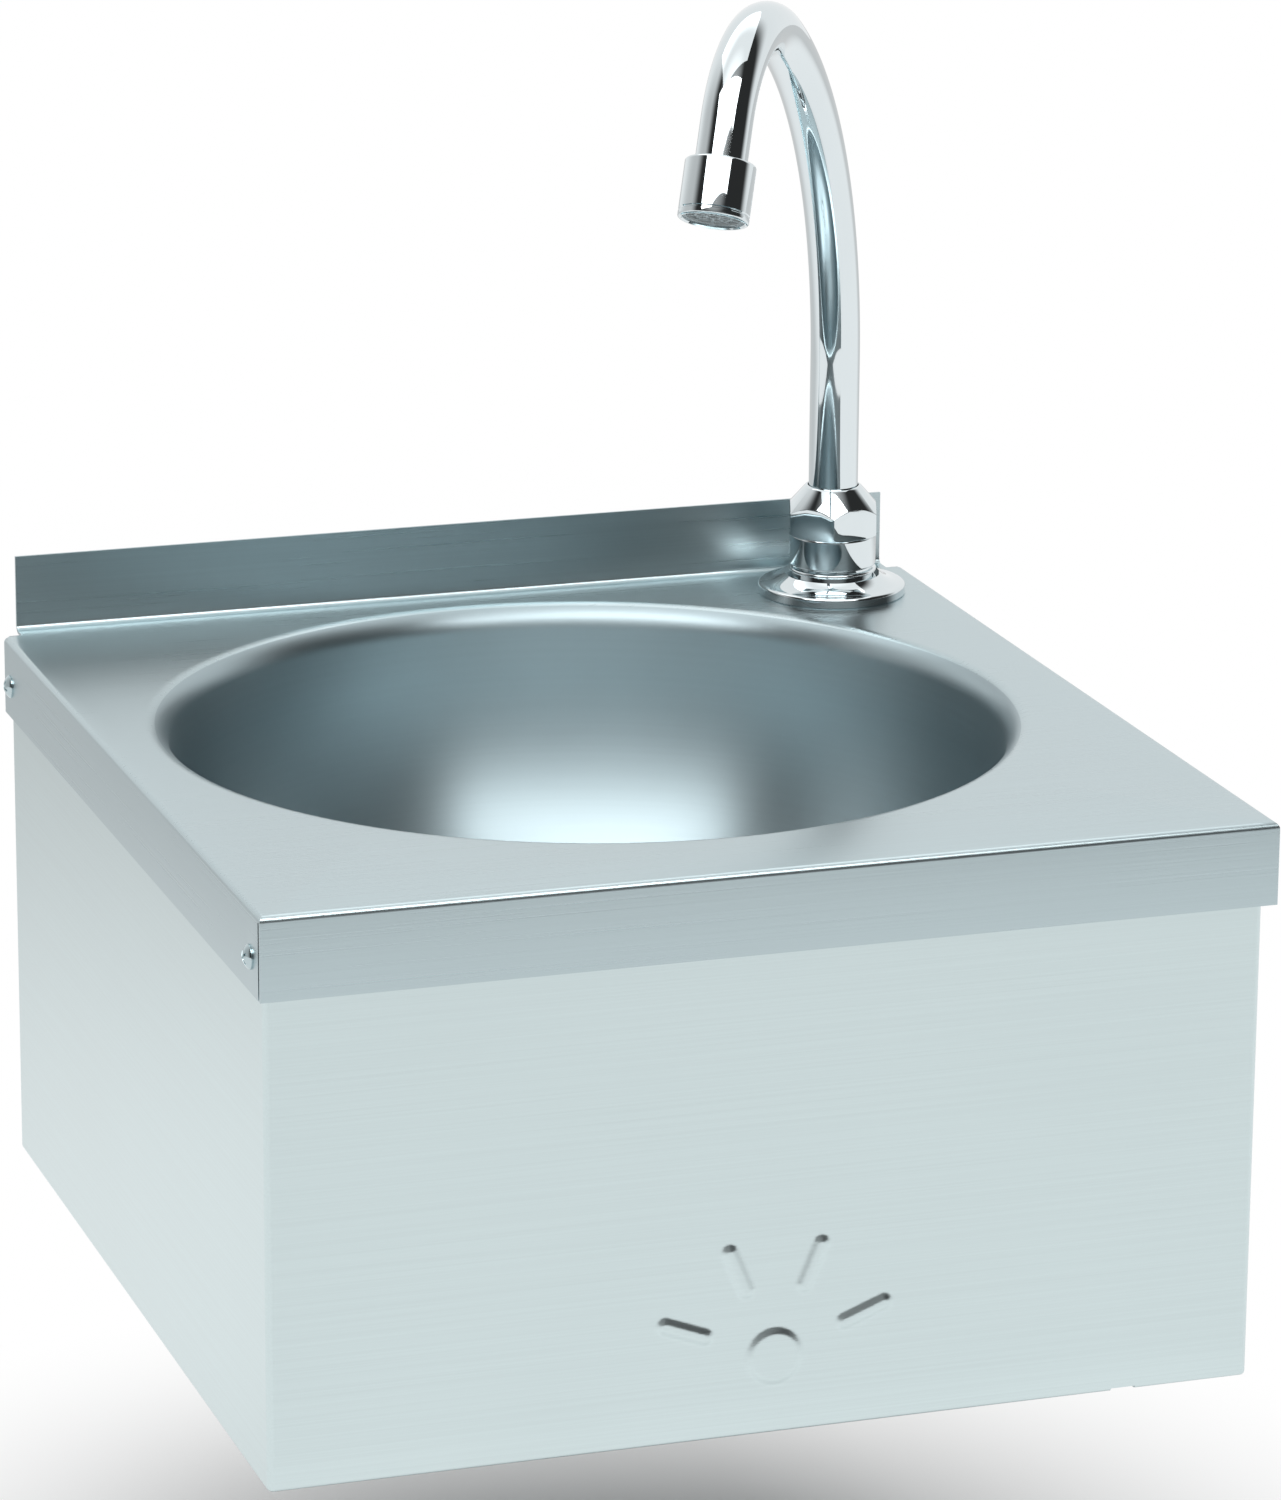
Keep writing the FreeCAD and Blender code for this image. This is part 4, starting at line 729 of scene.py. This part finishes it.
class BASIN_OT_skirt(bpy.types.Operator):
    """Skirt round front and sides, with the raised mark that the knee pushes"""

    bl_idname = "basin.skirt"
    bl_label = "Knee skirt"

    def execute(self, context):
        size = context.scene.basin_skirt
        sheet = context.scene.basin_sizes.sheet
        skirt = block((-size.side, size.front, size.bottom), (size.side, size.rear, size.top))
        skirt.name = "knee_skirt"
        shape(skirt)
        pick("FACE", lambda middle, face: near(middle.z, size.top) or near(middle.y, size.rear))
        bpy.ops.mesh.delete(type="FACE")
        pick("FACE", lambda middle, face: near(middle.z, size.bottom))
        bpy.ops.mesh.inset(thickness=size.lip, use_boundary=True)
        bpy.ops.mesh.delete(type="FACE")
        pick("FACE", lambda middle, face: near(middle.z, size.bottom) and middle.y > size.rear - size.lip)
        bpy.ops.mesh.delete(type="FACE")
        pick("VERT", lambda middle, corner: near(middle.z, size.top) and near(middle.y, size.rear))
        bpy.ops.transform.translate(value=(0, 0, -size.top_fall))
        pick("EDGE", lambda middle, edge: near(abs(middle.x), size.side) and near(middle.y, size.front))
        bpy.ops.mesh.bevel(offset=size.bend, segments=6, affect="EDGES")
        pick("EDGE", self.at_lip)
        bpy.ops.mesh.bevel(offset=size.lip_bend, segments=3, affect="EDGES")
        self.raise_mark(skirt, size)
        modify(skirt, "SOLIDIFY", thickness=sheet, offset=-1, use_even_offset=True)
        tools = [block((size.notch, size.front - CLEAR, size.bottom - CLEAR),
                       (size.notch + size.notch_width, size.front + size.bend, size.bottom + sheet))]
        for hand in (-1, 1):
            start = hand * (size.side - CLEAR)
            heading = (hand, 0, 0)
            tools.append(drill(size.pivot_hole, (start, size.pivot, size.screw_height), 2 * CLEAR, heading))
            slot = drill(size.guide_slot, (start, size.guide, size.screw_height), 2 * CLEAR, heading)
            shape(slot)
            pick("VERT", lambda middle, corner: middle.z < size.screw_height - 0.0001)
            bpy.ops.transform.translate(value=(0, 0, -size.guide_travel))
            tools.append(slot)
        carve(skirt, "DIFFERENCE", *tools)
        smooth(skirt, 40)
        hand_over(skirt, "skirt", "stainless", "skirt", "skirt")
        return {"FINISHED"}

    @staticmethod
    def at_lip(middle, edge):
        """True on the folds between the walls and the bottom return."""
        upright = [abs(face.normal.z) for face in edge.link_faces]
        return len(upright) == 2 and min(upright) < 0.1 and max(upright) > 0.9

    def raise_mark(self, skirt, size):
        """Divides the front round the mark finely and brings the mark out with soft edges."""
        mark_x, mark_z = size.mark_middle
        margin = 0.005
        reach = size.bar_ring + size.bar_length / 2 + margin
        low_z = mark_z - size.dot - margin
        for place, way in (((mark_x - reach, 0, 0), (1, 0, 0)), ((mark_x + reach, 0, 0), (1, 0, 0)),
                           ((0, 0, low_z), (0, 0, 1)), ((0, 0, mark_z + reach), (0, 0, 1))):
            pick("FACE", lambda middle, face: face.normal.y < -0.99)
            bpy.ops.mesh.bisect(plane_co=place, plane_no=way)
        for cuts in (11, 13):
            pick("FACE", lambda middle, face: face.normal.y < -0.99 and abs(middle.x - mark_x) < reach
                 and low_z < middle.z < mark_z + reach)
            bpy.ops.mesh.subdivide(number_cuts=cuts)
        bpy.ops.mesh.select_all(action="SELECT")
        bpy.ops.mesh.normals_make_consistent(inside=False)
        bpy.ops.object.mode_set(mode="OBJECT")
        raised = skirt.vertex_groups.new(name="raised")
        for corner in skirt.data.vertices:
            if not near(corner.co.y, size.front):
                continue
            height = 0.5 - self.outside(corner.co.x - mark_x, corner.co.z - mark_z, size) / size.mark_slope
            if height > 0:
                height = min(height, 1)
                raised.add([corner.index], height * height * (3 - 2 * height), "REPLACE")
        modify(skirt, "DISPLACE", direction="Y", strength=-size.mark_height, mid_level=0,
               vertex_group="raised")

    @staticmethod
    def outside(across, up, size):
        """Distance outside the nearest of the dot and its four bars, less than nought inside."""
        nearest = math.hypot(across, up) - size.dot
        radius = size.bar_width / 2
        for step in (-1.5, -0.5, 0.5, 1.5):
            angle = step * size.bar_step
            along = across * math.sin(angle) + up * math.cos(angle) - size.bar_ring
            beside = across * math.cos(angle) - up * math.sin(angle)
            past = max(0, abs(along) - size.bar_length / 2 + radius)
            nearest = min(nearest, math.hypot(past, beside) - radius)
        return nearest


class BASIN_OT_rim_screws(bpy.types.Operator):
    """Dome-headed rim screws with their nuts, which the skirt swings and slides on"""

    bl_idname = "basin.rim_screws"
    bl_label = "Rim screws"

    def execute(self, context):
        size = context.scene.basin_skirt
        side = context.scene.basin_sizes.rim_side
        head, dome, edge = size.screw_head, size.screw_dome, 0.0006
        ball = (head ** 2 + (dome - edge) ** 2) / (2 * (dome - edge))
        start = math.degrees(math.asin(head / ball))
        outline = [(radius, -height) for radius, height in arc((0, dome - ball), ball, 90, 90 - start, 10)]
        outline += [(head, 0), (size.screw, 0)]
        outline += ridges(size.screw, 0.0003, 0.0005, size.screw_length - 0.001, 0.0008)
        outline += [(size.screw - 0.0007, size.screw_length), (0, size.screw_length)]
        slot_length, slot_width, slot_depth = 0.0058, 0.0009, 0.0013
        spots = [(hand, y) for hand in (-1, 1) for y in (size.pivot, size.guide)]
        screws = []
        nuts = []
        for hand, y in spots:
            seat = (hand * side, y, size.screw_height)
            screw = turned("rim_screw", outline, steps=48)
            tightened = 0.5 + y * 7
            for turn in (tightened, tightened + math.pi / 2):
                slot = block((-slot_length / 2, -slot_width / 2, -CLEAR),
                             (slot_length / 2, slot_width / 2, slot_depth - dome))
                carve(screw, "DIFFERENCE", put(slot, (0, 0, 0), turn=turn))
            soften(screw, 0.00012, 2, 40)
            smooth(screw, 40)
            screws.append(put(screw, seat, (-hand, 0, 0)))
            low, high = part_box("guide_nuts")
            outer = high.x if hand > 0 else low.x
            profile = chamfered(size.nut, size.nut_height, size.screw + 0.00002)
            nuts.append(hexagon_nut("rim_nut", size.nut, size.nut_height, profile,
                                    (outer, y, size.screw_height), (-hand, 0, 0)))
        hand_over(join("rim_screws", screws), "basin", "stainless", "screw", "guide_screws")
        hand_over(join("rim_nuts", nuts), "basin", "stainless", "plate", "guide_nuts")
        return {"FINISHED"}


class BASIN_OT_tap_base(bpy.types.Operator):
    """Deck flange, tap body and spout nut"""

    bl_idname = "basin.tap_base"
    bl_label = "Tap base"

    def execute(self, context):
        size = context.scene.basin_tap
        basin = context.scene.basin_sizes
        place = (*size.middle, basin.deck)
        hole = basin.tap_hole
        edge = 0.0012
        slope = (size.flange - edge, size.flange_edge), (size.flange_top, size.flange_height)
        flange = turned("tap_flange_plated", [
            (hole, 0), (size.flange - 0.0004, 0), (size.flange, 0.0004),
            (size.flange, size.flange_edge - edge),
            *arc((size.flange - edge, size.flange_edge - edge), edge, 0, 70, 6),
            *self.hollow(*slope, 0.0009, 10)[1:],
            (size.flange_top - 0.0006, size.flange_height), (hole, size.flange_height), (hole, 0),
        ], place, steps=128)
        smooth(flange, 30)
        hand_over(flange, "basin", "chrome", "chrome", "tap_flange")
        foot = size.flange_height
        socket = size.tube + 0.00005
        body = turned("tap_body_plated", [
            (size.waterway, size.shank_end),
            *ridges(size.shank, 0.0006, size.shank_end + 0.0005, -0.001, 0.0014), (size.shank, foot),
            (size.body - 0.0014, foot), (size.body - 0.0014, foot + 0.0012),
            *arc((size.body - 0.0006, foot + 0.0021), 0.0009, -90, 90, 8),
            (size.body - 0.0011, foot + 0.0032), (size.body - 0.0011, foot + 0.0040),
            *arc((size.body - 0.0008, foot + 0.0050), 0.0008, -70, 0, 5),
            *arc((size.body - 0.0010, size.body_top - 0.0010), 0.0010, 0, 90, 6),
            (size.spigot, size.body_top), (size.spigot, size.socket_top), (socket, size.socket_top),
            (socket, size.socket_floor), (size.waterway, size.socket_floor), (size.waterway, size.shank_end),
        ], place, steps=128)
        smooth(body, 30)
        hand_over(body, "basin", "chrome", "chrome", "tap_body")
        bottom = size.body_top
        height = size.nut_top - bottom
        bore = size.tube + 0.0004
        seat = 0.0126
        collar = 0.0018
        past = size.nut_corner + 0.001
        nut = hexagon_nut("spout_nut_plated", size.nut_corner, height, [
            (size.spigot, 0), (size.nut_corner * 0.93, 0), (past, 0.0014), (past, size.nut_shoulder - bottom),
            *arc((bore, height - collar), collar, 35, 90, 6),
            (bore, height), (bore, seat), (size.spigot, seat), (size.spigot, 0),
        ], (place[0], place[1], place[2] + bottom), (0, 0, 1), size.nut_turn)
        hand_over(nut, "basin", "chrome", "chrome", "spout_nut")
        return {"FINISHED"}

    @staticmethod
    def hollow(start, end, sag, count):
        """A slope from start to end, drawn in by a little in its middle."""
        points = []
        for step in range(count + 1):
            t = step / count
            points.append((start[0] + (end[0] - start[0]) * t - sag * 4 * t * (1 - t) * 0.6,
                           start[1] + (end[1] - start[1]) * t - sag * 4 * t * (1 - t)))
        return points


class BASIN_OT_spout(bpy.types.Operator):
    """Swan-neck tube with its aerator"""

    bl_idname = "basin.spout"
    bl_label = "Spout"

    def execute(self, context):
        size = context.scene.basin_tap
        deck = context.scene.basin_sizes.deck
        outward = Vector((math.cos(size.reach), math.sin(size.reach), 0))
        up = Vector((0, 0, 1))
        place = Vector((*size.middle, deck + size.tube_start))
        deselect_all()
        bpy.ops.mesh.primitive_circle_add(vertices=64, radius=size.tube, location=place)
        tube = settle()
        tube.name = "spout_tube_plated"
        shape(tube)
        tilt = 0
        runs = ((size.stub, 0, 0), (size.sweep_radius, size.sweep, 36), (size.hook_radius, size.hook, 40),
                (size.end, 0, 0))
        for distance, turn, steps in runs:
            heading = outward * math.sin(tilt) + up * math.cos(tilt)
            if not turn:
                draw_out(*(heading * distance))
                place = place + heading * distance
                continue
            middle = place + (outward * math.cos(tilt) - up * math.sin(tilt)) * distance
            axis = up.cross(outward)
            bpy.ops.mesh.spin(steps=steps, angle=-turn, center=middle, axis=axis)
            place = middle + Quaternion(axis, turn) @ (place - middle)
            tilt += turn
        close_up()
        modify(tube, "SOLIDIFY", thickness=size.tube_wall, offset=-1)
        smooth(tube, 40)
        self.match(tube, "spout_tube")
        hand_over(tube, "spout", "chrome", "chrome", "spout_tube")
        heading = outward * math.sin(tilt) + up * math.cos(tilt)
        self.aerator(size, place, heading)
        return {"FINISHED"}

    @staticmethod
    def match(piece, node):
        """Stops the build if a piece isn't where its CAD node is."""
        tolerance = 0.002
        low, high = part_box(node)
        corners = [Vector(corner) for corner in piece.bound_box]
        for axis in range(3):
            gaps = (min(c[axis] for c in corners) - low[axis], max(c[axis] for c in corners) - high[axis])
            if max(map(abs, gaps)) > tolerance:
                raise RuntimeError(f"{piece.name} leaves {node} by {gaps} along axis {axis}")

    @staticmethod
    def aerator(size, place, heading):
        """Housing, and a moulded grid of spokes and rings in its mouth."""
        top, mouth, outer = -size.aerator_overlap, size.aerator_mouth, size.aerator
        inner = outer - size.aerator_wall
        shoulder, lip, groove = 0.0012, 0.0010, outer - 0.0004
        housing = turned("aerator_housing_plated", [
            (size.tube, top), *arc((outer - shoulder, top + shoulder), shoulder, -90, 0, 6),
            (outer, mouth - 0.0036), (groove, mouth - 0.0032), (groove, mouth - 0.0028),
            (outer, mouth - 0.0024), *arc((outer - lip, mouth - lip), lip, 0, 90, 6),
            (inner + 0.0005, mouth), (inner, mouth - 0.0006), (inner, 0), (size.tube, 0), (size.tube, top),
        ], place, heading, 96)
        smooth(housing, 30)
        hand_over(housing, "spout", "chrome", "chrome", "aerator_housing")
        face = mouth - 0.0015
        back = face - 0.009
        floor, underside = face - 0.005, face - 0.007
        bore, edge, half = 0.004, inner - 0.0012, 0.0006
        parts = [turned("grid_cup", [
            (bore, back), (inner, back), (inner, face), (edge, face), (edge, floor), (0, floor),
            (0, underside), (bore, underside), (bore, back),
        ])]
        foot, crest = floor - 0.0001, face - 0.0002
        for radius in (0.0027, 0.0072):
            parts.append(turned("grid_ring", [
                (radius - half, foot), (radius + half, foot), (radius + 0.0005, crest),
                (radius - 0.0005, crest), (radius - half, foot),
            ], steps=48))
        spokes = 10
        for step in range(spokes):
            spoke = block((0.0023, -half, foot), (inner - 0.001, half, face - 0.0003))
            parts.append(put(spoke, (0, 0, 0), turn=2 * math.pi * step / spokes))
        grid = join("aerator_grid", parts)
        soften(grid, 0.0001, 2, 50)
        smooth(grid, 30)
        hand_over(put(grid, place, heading), "spout", "insert_plastic", "grid", "aerator_insert")


class BASIN_OT_fittings(bpy.types.Operator):
    """Valve nuts, spring, threaded inlet and waste tail under the deck"""

    bl_idname = "basin.fittings"
    bl_label = "Fittings"

    def execute(self, context):
        self.nuts()
        self.spring()
        self.inlet()
        self.tail(context.scene.basin_sizes)
        return {"FINISHED"}

    @staticmethod
    def nuts():
        """Hexagon nuts with chamfered ends, each where its CAD node is."""
        for node, corner, bore, heading in (("valve_locknut", 0.0185, 0.01202, (0, 1, 0)),
                                            ("pipe_nut_valve", 0.0105, 0.00507, (1, 0, 0)),
                                            ("pipe_nut_tap", 0.0105, 0.00507, (0, 0, 1)),
                                            ("tap_locknut", 0.0170, 0.01022, (0, 0, 1))):
            low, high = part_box(node)
            middle = (low + high) / 2
            way = Vector(heading)
            height = (high - low).dot(way)
            nut = hexagon_nut(f"{node}_turned", corner, height, chamfered(corner, height, bore),
                              middle - way * height / 2, heading)
            hand_over(nut, "basin", "brass", "brass", node)
        low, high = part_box("tray_nuts")
        height = high.y - low.y
        corner, bore, aside = 0.0058, 0.00302, 0.045
        nut = hexagon_nut("tray_nuts_turned", corner, height, chamfered(corner, height, bore),
                          (0, low.y, (low.z + high.z) / 2), (0, 1, 0))
        nut = copies(nut, [(-aside, 0, 0), (aside, 0, 0)])
        hand_over(nut, "basin", "stainless", "plate", "tray_nuts")

    @staticmethod
    def spring():
        """Wire spring round the plunger."""
        low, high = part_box("valve_spring")
        wire = 0.0008
        radius = (high.x - low.x) / 2 - wire
        middle = (low + high) / 2
        run = high.y - low.y
        turns = 4
        deselect_all()
        bpy.ops.mesh.primitive_circle_add(vertices=12, radius=wire, rotation=(math.pi / 2, 0, 0),
                                          location=(radius, 0, wire))
        spring = settle()
        spring.name = "valve_spring_wire"
        modify(spring, "SCREW", axis="Z", steps=48, render_steps=48, iterations=turns,
               screw_offset=(run - 2 * wire) / turns, use_merge_vertices=True)
        shape(spring)
        pick("EDGE", lambda place, edge: len(edge.link_faces) < 2)
        bpy.ops.mesh.edge_face_add()
        close_up()
        smooth(spring, 60)
        put(spring, (middle.x, low.y, middle.z), (0, 1, 0))
        hand_over(spring, "plunger", "spring_steel", "spring", "valve_spring")
        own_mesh(spring)

    @staticmethod
    def inlet():
        """Inlet nipple: hexagon above, threaded end below."""
        low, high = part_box("inlet_nipple")
        place = ((low.x + high.x) / 2, (low.y + high.y) / 2, high.z)
        height = high.z - low.z
        hexagon, corner, bore = 0.007, 0.0135, 0.006
        start = hexagon - 0.0005
        head = hexagon_nut("inlet_nipple_turned", corner, hexagon, chamfered(corner, hexagon, bore),
                           place, (0, 0, -1))
        thread = turned("inlet_thread", [
            (bore, start), (0.0095, start),
            *ridges(0.0104, 0.0008, hexagon, height - 0.0008, 0.0018),
            (0.0092, height), (0.0066, height), (bore, height - 0.0006), (bore, start),
        ], place, (0, 0, -1))
        smooth(thread, 30)
        hand_over(join("inlet_nipple_turned", [head, thread]), "basin", "brass", "brass", "inlet_nipple")

    @staticmethod
    def tail(size):
        """Moulded waste tail with its seat, bridge and outside thread."""
        low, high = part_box("waste_tail")
        place = (*size.bowl_middle, high.z)
        end = low.z - high.z
        bore, flange, thick, edge = 0.0175, 0.033, 0.004, 0.0004
        tail = turned("waste_tail_moulded", [
            (bore, 0), (flange - edge, 0), (flange, -edge), (flange, edge - thick), (flange - edge, -thick),
            (0.0209, -thick), *ridges(0.02095, 0.0011, -0.012, end + 0.0015, 0.0022),
            (0.0196, end), (0.0178, end), (bore, end + edge), (bore, 0),
        ], place)
        bridge_end, bridge_half, screw_hole, depth = 0.019, 0.0045, 0.003, 0.04
        bridge = block((-bridge_end, -bridge_half, -0.0248), (bridge_end, bridge_half, -0.0188))
        carve(bridge, "DIFFERENCE", drill(screw_hole, (0, 0, -depth), depth, (0, 0, 1)))
        soften(bridge, 0.0006)
        smooth(tail, 30)
        smooth(bridge, 30)
        put(bridge, place)
        hand_over(join("waste_tail_moulded", [tail, bridge]), "basin", "nylon", "nylon", "waste_tail")


class BASIN_OT_paint(bpy.types.Operator):
    """Finishes for the pieces that keep their CAD shape"""

    bl_idname = "basin.paint"
    bl_label = "Other finishes"

    def execute(self, context):
        slots = {
            "stainless": "plate", "chrome": "chrome", "brass": "brass", "copper": "copper",
            "spring_steel": "spring", "rubber": "rubber", "nylon": "nylon", "insert_plastic": "grid",
        }
        for row in frame["record"]["subparts"]:
            node = frame["nodes"][row["node"]]
            node.data.materials.clear()
            node.data.materials.append(finishes[slots[row["material_slot"]]])
        return {"FINISHED"}


class BASIN_OT_stage(bpy.types.Operator):
    """Pale floor, white surroundings, soft lamps and the camera"""

    bl_idname = "basin.stage"
    bl_label = "Studio"

    def execute(self, context):
        studio = context.scene.basin_studio
        context.scene.view_settings.view_transform = "Standard"
        self.floor(studio)
        self.surroundings(context.scene, studio)
        self.lamp("front_softbox", studio.front_lamp, studio.front_size, studio.front_place,
                  studio.front_target)
        self.lamp("top_softbox", studio.top_lamp, studio.top_size, studio.top_place, studio.top_target)
        self.camera(context.scene, studio)
        return {"FINISHED"}

    @staticmethod
    def floor(studio):
        """Matt and shaded under the basin, white further out, and clear from below."""
        deselect_all()
        bpy.ops.mesh.primitive_circle_add(vertices=96, radius=studio.floor_radius, fill_type="NGON",
                                          location=(0, 0, studio.floor_height))
        floor = settle()
        floor.name = "floor"
        material, nodes = new_finish("pale_floor")
        spot = nodes.add("ShaderNodeSeparateXYZ", {}, {0: nodes.place()})
        across, along = spot.output("X"), spot.output("Y") + 0.2
        far = (across * across + along * along).root().ramp(0.12, 0.45)
        light = nodes.add("ShaderNodeLightPath")
        seen = light.output("Is Camera Ray").largest(light.output("Is Glossy Ray"))
        seen = seen.largest(light.output("Is Transmission Ray"))
        matt = nodes.add("ShaderNodeBsdfDiffuse", {}, {"Color": (0.86, 0.87, 0.87, 1)})
        behind = spot.output("Y").ramp(0.3, 1.4) * light.output("Is Glossy Ray")
        white = nodes.add("ShaderNodeEmission", {}, {"Color": 1 - behind * 0.32, "Strength": 1.0})
        clear = nodes.add("ShaderNodeBsdfTransparent")
        below = nodes.add("ShaderNodeNewGeometry").output("Backfacing")
        lit = nodes.add("ShaderNodeMixShader", {}, {0: far * seen, 1: matt, 2: white})
        shown = nodes.add("ShaderNodeMixShader", {}, {0: below, 1: lit, 2: clear})
        nodes.add("ShaderNodeOutputMaterial", {}, {"Surface": shown})
        floor.data.materials.append(material)

    @staticmethod
    def surroundings(scene, studio):
        """White to the camera; to metal, white behind and darker in the room in front and above."""
        world = scene.world or bpy.data.worlds.new("studio")
        scene.world = world
        world.use_nodes = True
        nodes = Nodes(world.node_tree)
        way = nodes.add("ShaderNodeSeparateXYZ", {}, {0: nodes.place("Generated")})
        x, y, z = (way.output(axis) for axis in "XYZ")
        backward = y * 0.8 + abs(x) * 0.2 - abs(z) * 0.35
        bright = backward.ramp(-0.1, 0.3) * (0.62 + x.ramp(-0.9, -0.3) * 0.38)
        level = (x * x + y * y).root()
        ahead = ((y * -0.98 - x * 0.2) / level).ramp(0.78, 1.0)
        glow = ahead * z.ramp(-0.35, 0.1) * (1 - z.ramp(0.25, 0.5))
        halo = (z * 0.84 - y * 0.51 - x * 0.19).ramp(0.75, 1.0)
        light = nodes.add("ShaderNodeLightPath")
        glossy = light.output("Is Glossy Ray")
        white = light.output("Is Camera Ray").largest(light.output("Is Transmission Ray"))
        dim_room, glow_share, halo_share, backdrop_share = 0.03, 0.2, 0.45, 0.92
        mirrored = glossy * (dim_room + glow * glow_share + halo * halo_share + bright * backdrop_share)
        strength = white.largest(mirrored).largest((1 - white.largest(glossy)) * studio.room)
        background = nodes.add("ShaderNodeBackground", {}, {"Color": strength, "Strength": 1.0})
        nodes.add("ShaderNodeOutputWorld", {}, {"Surface": background})

    @staticmethod
    def lamp(name, watts, size, place, target):
        """A rectangular softbox that points at a target."""
        deselect_all()
        bpy.ops.object.light_add(type="AREA", location=place)
        lamp = bpy.context.object
        lamp.name = name
        lamp.data.shape = "RECTANGLE"
        lamp.data.size, lamp.data.size_y = size
        lamp.data.energy = watts
        lamp.rotation_mode = "QUATERNION"
        lamp.rotation_quaternion = (Vector(target) - Vector(place)).to_track_quat("-Z", "Y")

    @staticmethod
    def camera(scene, studio):
        """The camera at the photo's place, turn and lens."""
        deselect_all()
        bpy.ops.object.camera_add(location=studio.camera_place)
        camera = bpy.context.object
        turn, height = studio.camera_turn, studio.camera_height
        level = math.cos(height)
        view = Vector((-math.sin(turn) * level, math.cos(turn) * level, -math.sin(height)))
        camera.rotation_mode = "QUATERNION"
        roll = Quaternion((0, 0, 1), studio.camera_roll)
        camera.rotation_quaternion = view.to_track_quat("-Z", "Y") @ roll
        camera.data.lens = studio.lens
        camera.data.sensor_width = 36
        camera.data.shift_x, camera.data.shift_y = studio.shift
        camera.data.clip_end = 50
        scene.camera = camera


class BASIN_PT_sidebar(bpy.types.Panel):
    """Lists the steps that build the basin"""

    bl_idname = "BASIN_PT_sidebar"
    bl_label = "Hand basin"
    bl_space_type = "VIEW_3D"
    bl_region_type = "UI"
    bl_category = "Basin"

    def draw(self, context):
        for step in STEPS:
            self.layout.operator(step.bl_idname)


STEPS = (BASIN_OT_paint, BASIN_OT_shell, BASIN_OT_skirt, BASIN_OT_rim_screws, BASIN_OT_tap_base,
         BASIN_OT_spout, BASIN_OT_fittings, BASIN_OT_stage)
SETTINGS = {
    "basin_sizes": BasinSizes,
    "basin_skirt": SkirtSizes,
    "basin_tap": TapSizes,
    "basin_looks": FinishColours,
    "basin_studio": StudioSettings,
}


def register():
    for item in (*SETTINGS.values(), *STEPS, BASIN_PT_sidebar):
        bpy.utils.register_class(item)
    for name, group in SETTINGS.items():
        setattr(bpy.types.Scene, name, PointerProperty(type=group))


def unregister():
    for name in SETTINGS:
        delattr(bpy.types.Scene, name)
    for item in (BASIN_PT_sidebar, *reversed(STEPS), *reversed(list(SETTINGS.values()))):
        bpy.utils.unregister_class(item)


def main():
    register()
    scene = bpy.context.scene
    mix_finishes(scene.basin_looks, scene.basin_sizes)
    bpy.ops.basin.paint()
    bpy.ops.basin.shell()
    bpy.ops.basin.skirt()
    bpy.ops.basin.rim_screws()
    bpy.ops.basin.tap_base()
    bpy.ops.basin.spout()
    bpy.ops.basin.fittings()
    bpy.ops.basin.stage()


if __name__ == "__main__":
    main()
